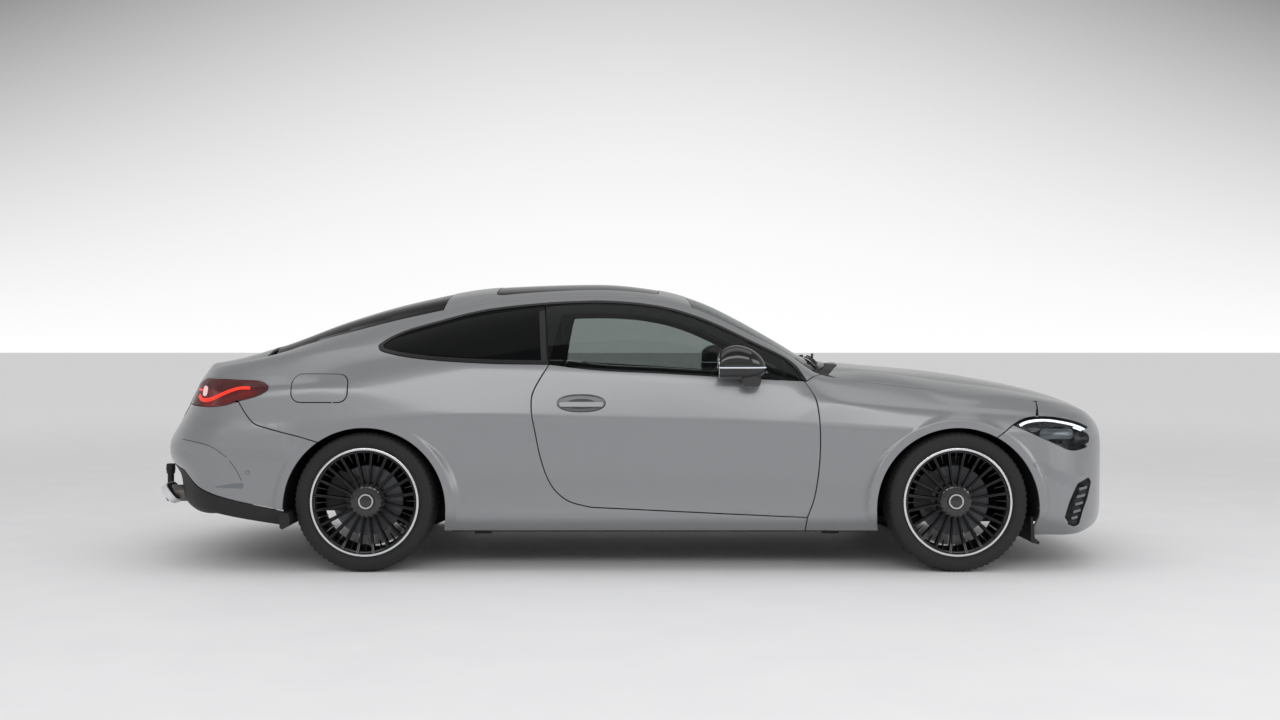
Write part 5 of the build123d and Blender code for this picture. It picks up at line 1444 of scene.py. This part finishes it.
# Buffed stainless steel: bright, with soft reflections.
bright_steel = finish("polished stainless steel", "#f0f0f2", 0.3, 0.35, ("#dadbdd", "#eaebed", 10))
line = np.stack([oval(48, FINISHER_HALF[0], 1, 0.5)[:, 0], oval(48, 1, FINISHER_HALF[1], 0.6)[:, 1]], axis=1)
frame_line = FINISHER_AT + line[:, :1] * [0, 1, 0] + line[:, 1:] * FINISHER_UP
way = np.roll(frame_line, -1, axis=0) - np.roll(frame_line, 1, axis=0)
outward = np.cross(way / np.linalg.norm(way, axis=1, keepdims=True), FINISHER_FACE)
rings = np.stack([frame_line + outward * a * MM + FINISHER_FACE * b * MM for a, b in FINISHER_SECTION],
                 axis=1)
finisher = (rings.reshape(-1, 3), ring_faces(*rings.shape[:2], wrap=True))
# Inside each finisher, a thin near-black plug in the net finish is the painted shade down the pipe.
throat_shade_plug = swept([frame_line + FINISHER_FACE * b * MM for b in (-28, -32)])
built("exhaust_finishers", twin(finisher), bright_steel, "body", sharp=50)
built("exhaust_throats", twin(throat_shade_plug), net_with_painted_shade, "body")
REFLECTOR = rear((-722, 412), (-650, 425), (-583, 430), (-588, 404), (-712, 408))
reflector = trim(closed(side_line(straight(REFLECTOR)), soft=2), 4, 2.5, roll=1.2)
fit("rear_reflectors", both(reflector), [smoked], "body")
BUMPER_LINE = rear((-905, 637), (-830, 630), (-740, 610), (-678, 568), (-628, 510), (-590, 440))
GROOVE_SHADE_HALF = 1.6
# The groove's shade is painted: a thin black strip along the bumper line, standing a little proud of the
# skin.
groove = strip(side_line(curve(BUMPER_LINE)), -GROOVE_SHADE_HALF, GROOVE_SHADE_HALF, 0.35, 1.5)
fit("bumper_grooves", both(groove), [grained_black], "body")

# ---------------- towing ball cap and deflectors
# A soft moulded cap pushed over the towing ball, and rubber strips screwed to the edges of
# the bumpers, which keep the air off the tyres.
CAP_R, CAP_FOOT, CAP_TOP = 22, 392, 446
ball_cap = lathe(profile(CAP_FOOT, (0, 0.01), (0, CAP_R - 3), (2, CAP_R), (26, CAP_R + 1.5))
                 + profile(CAP_TOP, (-8, CAP_R + 2), (-2, CAP_R + 0.5), (0, CAP_R - 3), (0, 0.01)), 40)
ball_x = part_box("tow_bar")[0].x + 25 * MM
built("tow_ball_cap", [(ball_cap[0][:, [0, 2, 1]] * [1, -1, 1] + [ball_x, 0, 0], ball_cap[1])],
      grained_black, "body")
FRONT_STRIP = front((362, 262), (364, 150), (370, 136), (400, 128), (406, 140), (382, 160), (372, 262))
REAR_STRIP = rear((-350, 292), (-340, 262), (-346, 236), (-376, 216), (-390, 222), (-392, 292))
FRONT_SPAN, REAR_SPAN = (-0.872, -0.60), (-0.985, -0.62)
deflectors = [part for section, span in ((FRONT_STRIP, FRONT_SPAN), (REAR_STRIP, REAR_SPAN))
              for part in twin(swept([np.insert(section, 1, y, axis=1) for y in span]))]
built("wheel_deflectors", deflectors, grained_black, "body", sharp=30)

# ---------------- seats
# Foam cushions under stitched black leather: bolstered front seats with their headrests,
# and a rear bench for two. The cushions stand on moulded shells and bases.
PAD_COUNT, CHANNEL_DEEP, CHANNEL_WIDE, CHANNEL_REACH = 22, 7 * MM, 9 * MM, 0.72
# Sides of a cube: which of the two grid values (0 and 1) or the fixed one (2) is x, y and z, and its sign.
CUBE_SIDES = ((0, 1, 2, 1), (1, 0, 2, -1), (2, 0, 1, 1), (2, 1, 0, -1), (1, 2, 0, 1), (0, 2, 1, -1))


def pad(size, squareness=4.5, channels=(), crown=0):
    """A stuffed block of a size (length, width, height) in mm, its middle at the origin: a cube
    divided by its own norm of a power, with a crown on its upper face of the form (1 - x^2)(1 - y^2)
    and sewn channels across it, each a bell curve deep, at fractions of its length."""
    half = np.array(size) * MM / 2
    t = np.tan(np.linspace(-1, 1, PAD_COUNT) * math.pi / 4)
    a, b = (g.ravel() for g in np.meshgrid(t, t, indexing="ij"))
    grid = np.arange(PAD_COUNT**2).reshape(PAD_COUNT, PAD_COUNT)
    quads = np.stack([grid[:-1, :-1], grid[1:, :-1], grid[1:, 1:], grid[:-1, 1:]], axis=2).reshape(-1, 4)
    cube = np.vstack([np.stack([(a, b, np.full_like(a, sign))[i] for i in order], axis=1)
                      for *order, sign in CUBE_SIDES])
    p = cube / (np.abs(cube) ** squareness).sum(1, keepdims=True) ** (1 / squareness) * half
    upper = np.clip(p[:, 2] / half[2], 0, 1)
    p[:, 2] += upper * crown * MM * (1 - (p[:, 0] / half[0]) ** 2) * (1 - (p[:, 1] / half[1]) ** 2)
    sewn = np.abs(p[:, 1]) < CHANNEL_REACH * half[1]
    for share in channels:
        away = np.abs(p[:, 0] - share * half[0])
        p[:, 2] -= CHANNEL_DEEP * upper**2 * np.exp(-(away / CHANNEL_WIDE) ** 2) * sewn
    return p, [face for i in range(6) for face in (quads + i * PAD_COUNT**2).tolist()]


def tilted(piece, turn, at):
    """A piece leaned about the Y axis by an angle in degrees, then moved, in metres."""
    return moved(spun(piece, turn), *at)


# Nappa leather: fine grained and nearly matt, a little brighter at its edges.
leather = finish("stitched black nappa leather", "#1c1c1e", 0.52, tint=("#18181a", "#242426", 12),
                 grain=(1.8, 0.2), Sheen_Weight=0.15)
SEAT_X, SEAT_Y, BENCH_Y = FRONT - 1750 * MM, 370 * MM, 290 * MM
CUSHION_TILT, BACK_LEAN, HEAD_LEAN = -8, 22, 10
BACK_FOOT = np.array([SEAT_X - 215 * MM, 0, 400 * MM])
LEAN = np.array([-math.sin(math.radians(BACK_LEAN)), 0, math.cos(math.radians(BACK_LEAN))])


def on_back(up, ahead=0, out=0, rise=0):
    """A place in millimetres up the line of the backrest, and beside it."""
    return BACK_FOOT + LEAN * up * MM + np.array([ahead, out, rise]) * MM


# Pads of a front seat: size, channels, crown, turn and place.
SEAT = [((480, 330, 150), (-0.5, -0.15, 0.2, 0.55), 12, CUSHION_TILT, (SEAT_X + 20 * MM, 0, 400 * MM)),
        ((620, 330, 110), (-0.6, -0.3, 0, 0.3), 14, BACK_LEAN - 90, on_back(320)),
        ((190, 250, 105), (0,), 8, HEAD_LEAN - 90, on_back(765, ahead=22))]
for wing in (-1, 1):
    SEAT += [((500, 90, 175), (), 0, CUSHION_TILT, (SEAT_X + 15 * MM, wing * 205 * MM, 412 * MM)),
             ((560, 90, 150), (), 0, BACK_LEAN - 90, on_back(300, ahead=22, out=wing * 196.8, rise=8))]
BENCH = [((420, 470, 150), (-0.4, 0.1, 0.5), 10, -10, (REAR + 200 * MM, 0, 520 * MM)),
         ((480, 470, 110), (-0.4, 0, 0.4), 12, -64, (REAR + 75 * MM, 0, 760 * MM))]
for piece_name, pads, seat_y, gone in (("front_seat_cushions", SEAT, SEAT_Y, "front_seats"),
                                       ("rear_bench_cushions", BENCH, BENCH_Y, "rear_bench")):
    parts = [tilted(pad(size, channels=channels, crown=crown), turn, np.array(at) + [0, side * seat_y, 0])
             for side in (-1, 1) for size, channels, crown, turn, at in pads]
    cushions = built(piece_name, parts, leather, "body", [gone], sharp=75)
SHELL, BASE = (640, 440, 60), (430, 380, 96)
frames = []
for side in (-1, 1):
    middle = np.array([0, side * SEAT_Y, 0])
    frames.append(tilted(pad(SHELL, 6), BACK_LEAN - 90, middle + on_back(320, ahead=-62, rise=-24)))
    frames.append(tilted(pad(BASE, 8), 0, middle + [SEAT_X, 0, 262 * MM]))
    frames += [tube([middle + on_back(up, ahead=5, out=out) for up in (600, 740)], 7)
               for out in (-60, 60)]
built("seat_frames", frames, grained_black, "body", sharp=60)

# ---------------- cabin, chassis and running gear
# What stays as it was cut: moulded fascia, leather wheel rim, primed floor, felted arch
# liners, cast and pressed steel running gear, and the towing bar.
def dress(material, slot, *names):
    """Gives pieces kept from the solid model a finish of their own."""
    for name in names:
        obj = bpy.data.objects[name]
        obj.data.materials.clear()
        obj.data.materials.append(material)


# Slush moulded skin with a leather grain: dull and dark, so that it doesn't mirror in the screen.
fascia = finish("soft moulded fascia skin", "#1b1b1d", 0.7, tint=("#171719", "#222224", 10),
                grain=(1.4, 0.15))
# Stone guard sprayed over primer: matt, with a coarse orange peel.
primer = finish("sprayed underbody primer", "#141415", 0.8, tint=("#101011", "#1c1c1d", 20),
                grain=(4, 0.3))
# Needled fibres: black, and painted the darkest and dullest of all as the shade inside the arches.
felt = finish("needled polyester felt", "#0c0c0d", 0.95, tint=("#080809", "#131314", 5),
              grain=(3, 0.6))
# Dipped black paint on castings and pressings: a low sheen over a rough skin.
cast_iron = finish("cast and painted steel", "#2b2b2d", 0.55, 0.5, ("#232325", "#343436", 9), (2, 0.2))
# The bare skin of a sand mould: pale grey and grainy.
cast_alloy = finish("sand cast aluminium", "#8c8d8f", 0.5, 0.8, ("#7e7f81", "#9a9b9d", 6), (2, 0.25))
# Rolled stainless steel, browned by heat in patches.
exhaust_steel = finish("stainless exhaust steel", "#b4b3b0", 0.35, 0.6, ("#5e5b57", "#7d7a76", 30))
dress(fascia, "soft_trim", "dashboard")
dress(leather, "seat_leather", "steering_wheel")
dress(primer, "underbody", "floor_pan")
dress(felt, "black_plastic", "arch_liners")
dress(cast_iron, "cast", "front_suspension", "rear_axle", "knuckle_front_left", "knuckle_front_right")
dress(cast_iron, "steel", "tow_bar")
dress(cast_alloy, "cast", "engine_block")
dress(exhaust_steel, "steel", "exhaust")

# ---------------- wipers
# Pressed steel arms and rubber blades that park below the bonnet's rear edge, each arm on
# a splined shaft through the plenum cover.
WIPERS = ((-600, -60, -80, -2), (30, 560, 545, -1))
BLADE_X, BLADE_POINTS, ARM_POINTS = FRONT - 640 * MM, 24, 9
wiper_parts = []
for blade_from, blade_to, shaft_y, foot_point in WIPERS:
    y = np.linspace(blade_from * MM, blade_to * MM, BLADE_POINTS)
    on_glass = lift(np.stack([np.full(BLADE_POINTS, BLADE_X), np.abs(y)], axis=1), plan_rays)
    on_glass[:, 1] = y
    middle, foot = on_glass[11] + [4 * MM, 0, 20 * MM], on_glass[foot_point] + [38 * MM, 0, 22 * MM]
    foot[1] = shaft_y * MM
    arm = middle + (foot - middle) * np.linspace(0, 1, ARM_POINTS)[:, None]
    arm[:, 2] += 6 * MM * np.sin(np.linspace(0, math.pi, ARM_POINTS))
    wiper_parts += [tube(on_glass + [0, 0, 5 * MM], 4.5, 8),
                    tube(on_glass[3:-3] + [4 * MM, 0, 14 * MM], 6, 8, flat=0.7),
                    tube(arm, 7, 8, flat=0.6),
                    tube([foot - [0, 0, 22 * MM], foot + [0, 0, 6 * MM]], 14, 20)]
built("wiper_arms", wiper_parts, grained_black, "body", ["wipers"], sharp=40)

# ---------------- sensors and number plate
# Parking sensors: a painted cap in a rubber ring, clipped behind the bumper skins. The
# number plate is a blank pressed sheet screwed to the tail.
SENSORS = (*front((372, 520)), *rear((-562, 482)))
for piece_name, radius, rise, material, slot in (
        ("sensor_rings", 10.5 * MM, 0.4, grained_black, "black_plastic"),
        ("sensor_caps", 8.5 * MM, 1.4, body_paint, "body_paint")):
    outlines = [closed(side_line(at + oval(28, radius, radius)), soft=0, step=4) for at in SENSORS]
    buttons = [trim(outline, 2.5, rise, roll=0.6, grid=8) for outline in outlines]
    fit(piece_name, both(joined(*buttons)), [material], "body")
PLATE_HALF = np.array([(0, 672), (262, 672), (262, 560), (0, 560)]) * MM
# Enamelled aluminium: off-white with a soft sheen.
plate_white = finish("blank pressed number plate", "#d8d8d4", 0.4, tint=("#d3d3cf", "#dddcd9", 30))
plate = trim(across_centre(unroll(tail_points(straight(PLATE_HALF, 10))), TAIL_CENTRE), 3, 2.5,
             gap=0.5, roll=1.5)
fit("rear_plate", plate, [plate_white], "body")

# ---------------- studio
# A plain pale floor that runs to the horizon, soft light from above and all round, and a
# camera level with the door handles, square to the car's right-hand side.
CAMERA_AT, TILT = (98 * MM, -7.6, 1.106), 0.70
LENS, SENSOR, CLIP_END = 39.05, 36.0, 400
camera_data = bpy.data.cameras.new("camera")
camera_data.lens, camera_data.sensor_width, camera_data.clip_end = LENS, SENSOR, CLIP_END
camera = bpy.data.objects.new("camera", camera_data)
bpy.context.scene.collection.objects.link(camera)
camera.location = CAMERA_AT
camera.rotation_euler = (math.radians(90 - TILT), 0, 0)
bpy.context.scene.camera = camera

# Power floated screed under a seal: pale and even, with a broad soft sheen. Far from the
# car it is lit evenly up to the horizon, for the camera alone.
FLOOR_REACH, FAR_FROM, FAR_TO, FAR_GLOW = 150.0, 2.5, 16.0, 0.1
floor_finish = finish("pale polished screed", "#f2f2f3", 0.6, tint=("#eeeef0", "#f6f6f7", 350, 6.0),
                      grain=(30, 0.5, 0.2), glow="#ffffff")
tree = floor_finish.node_tree
away = node(tree, "VectorMath", {"operation": "LENGTH"}, i0=place_of(tree)).outputs["Value"]
far = node(tree, "MapRange", {"interpolation_type": "SMOOTHSTEP"}, Value=away, From_Min=FAR_FROM,
           From_Max=FAR_TO, To_Min=0.0, To_Max=FAR_GLOW).outputs[0]
camera_ray = node(tree, "LightPath").outputs["Is Camera Ray"]
glow = node(tree, "Math", {"operation": "MULTIPLY"}, i0=far, i1=camera_ray).outputs[0]
tree.links.new(glow, tree.nodes["Principled BSDF"].inputs["Emission Strength"])
corners = [(x * FLOOR_REACH, y * FLOOR_REACH, 0) for x, y in ((-1, -1), (1, -1), (1, 1), (-1, 1))]
mesh_object("floor", corners, [(0, 1, 2, 3)], materials=[floor_finish])

# The light round the car. Its mirror image in paint and glass fades upwards, and what the
# camera sees of it fades to the top by the square of the height, and to the corners.
SKY, SKY_TOP, SKY_FROM, SKY_TO = 0.62, 0.3, 0.1, 0.7
TOP_FADE, CORNER_FADE, DARKEST = 6.1, 11.0, 0.3
world = bpy.data.worlds.new("studio")
bpy.context.scene.world = world
world.use_nodes = True
tree = world.node_tree
rays = node(tree, "LightPath").outputs
up = node(tree, "SeparateXYZ", Vector=node(tree, "TexCoord").outputs["Generated"]).outputs
rise = node(tree, "Math", {"operation": "MAXIMUM"}, i0=up["Z"], i1=0.0).outputs[0]
mirrored_sky = node(tree, "MapRange", Value=rise, From_Min=SKY_FROM, From_Max=SKY_TO, To_Min=SKY,
                    To_Max=SKY_TOP).outputs[0]
strength = node(tree, "Mix", Factor=rays["Is Glossy Ray"], A=SKY, B=mirrored_sky).outputs[0]
light = tree.nodes["Background"]
light.inputs["Color"].default_value = (1, 1, 1, 1)
tree.links.new(strength, light.inputs["Strength"])
squares = node(tree, "Math", {"operation": "MULTIPLY"}, i0=rise, i1=rise).outputs[0]
sideways = node(tree, "Math", {"operation": "MULTIPLY"}, i0=up["X"], i1=up["X"]).outputs[0]
corner = node(tree, "Math", {"operation": "MULTIPLY"}, i0=sideways, i1=rise).outputs[0]
corner_loss = node(tree, "Math", {"operation": "MULTIPLY"}, i0=corner, i1=CORNER_FADE).outputs[0]
loss = node(tree, "Math", {"operation": "MULTIPLY_ADD"}, i0=squares, i1=TOP_FADE, i2=corner_loss).outputs[0]
left = node(tree, "Math", {"operation": "SUBTRACT"}, i0=1.0, i1=loss).outputs[0]
fade = node(tree, "Math", {"operation": "MAXIMUM"}, i0=left, i1=DARKEST).outputs[0]
backdrop = node(tree, "Background", Color=(1, 1, 1, 1), Strength=fade).outputs[0]
seen = node(tree, "Math", {"operation": "MAXIMUM"}, i0=rays["Is Camera Ray"],
            i1=rays["Is Transmission Ray"]).outputs[0]
mixed = node(tree, "MixShader", i0=seen, i1=light.outputs[0], i2=backdrop).outputs[0]
tree.links.new(mixed, tree.nodes["World Output"].inputs["Surface"])

# Soft boxes: place, size, the point that each faces and its power in watts.
for lamp_name, at, size, aim, power in (
        ("overhead", (0, -0.5, 5.2), (7.5, 3.2), (0, 0, 0), 62),
        ("side", (0, -7.5, 4.2), (9, 2.0), (0, 0, 0.8), 152),
        ("nose", (6.5, -4.5, 2.6), (4.0, 2.0), (2.2, -0.5, 0.6), 60)):
    data = bpy.data.lights.new(lamp_name, "AREA")
    data.shape, data.size, data.size_y, data.energy = "RECTANGLE", *size, power
    lamp = bpy.data.objects.new(lamp_name, data)
    bpy.context.scene.collection.objects.link(lamp)
    lamp.location = at
    lamp.rotation_euler = (Vector(aim) - Vector(at)).to_track_quat("-Z", "Y").to_euler()
bpy.context.scene.view_settings.view_transform = "Standard"
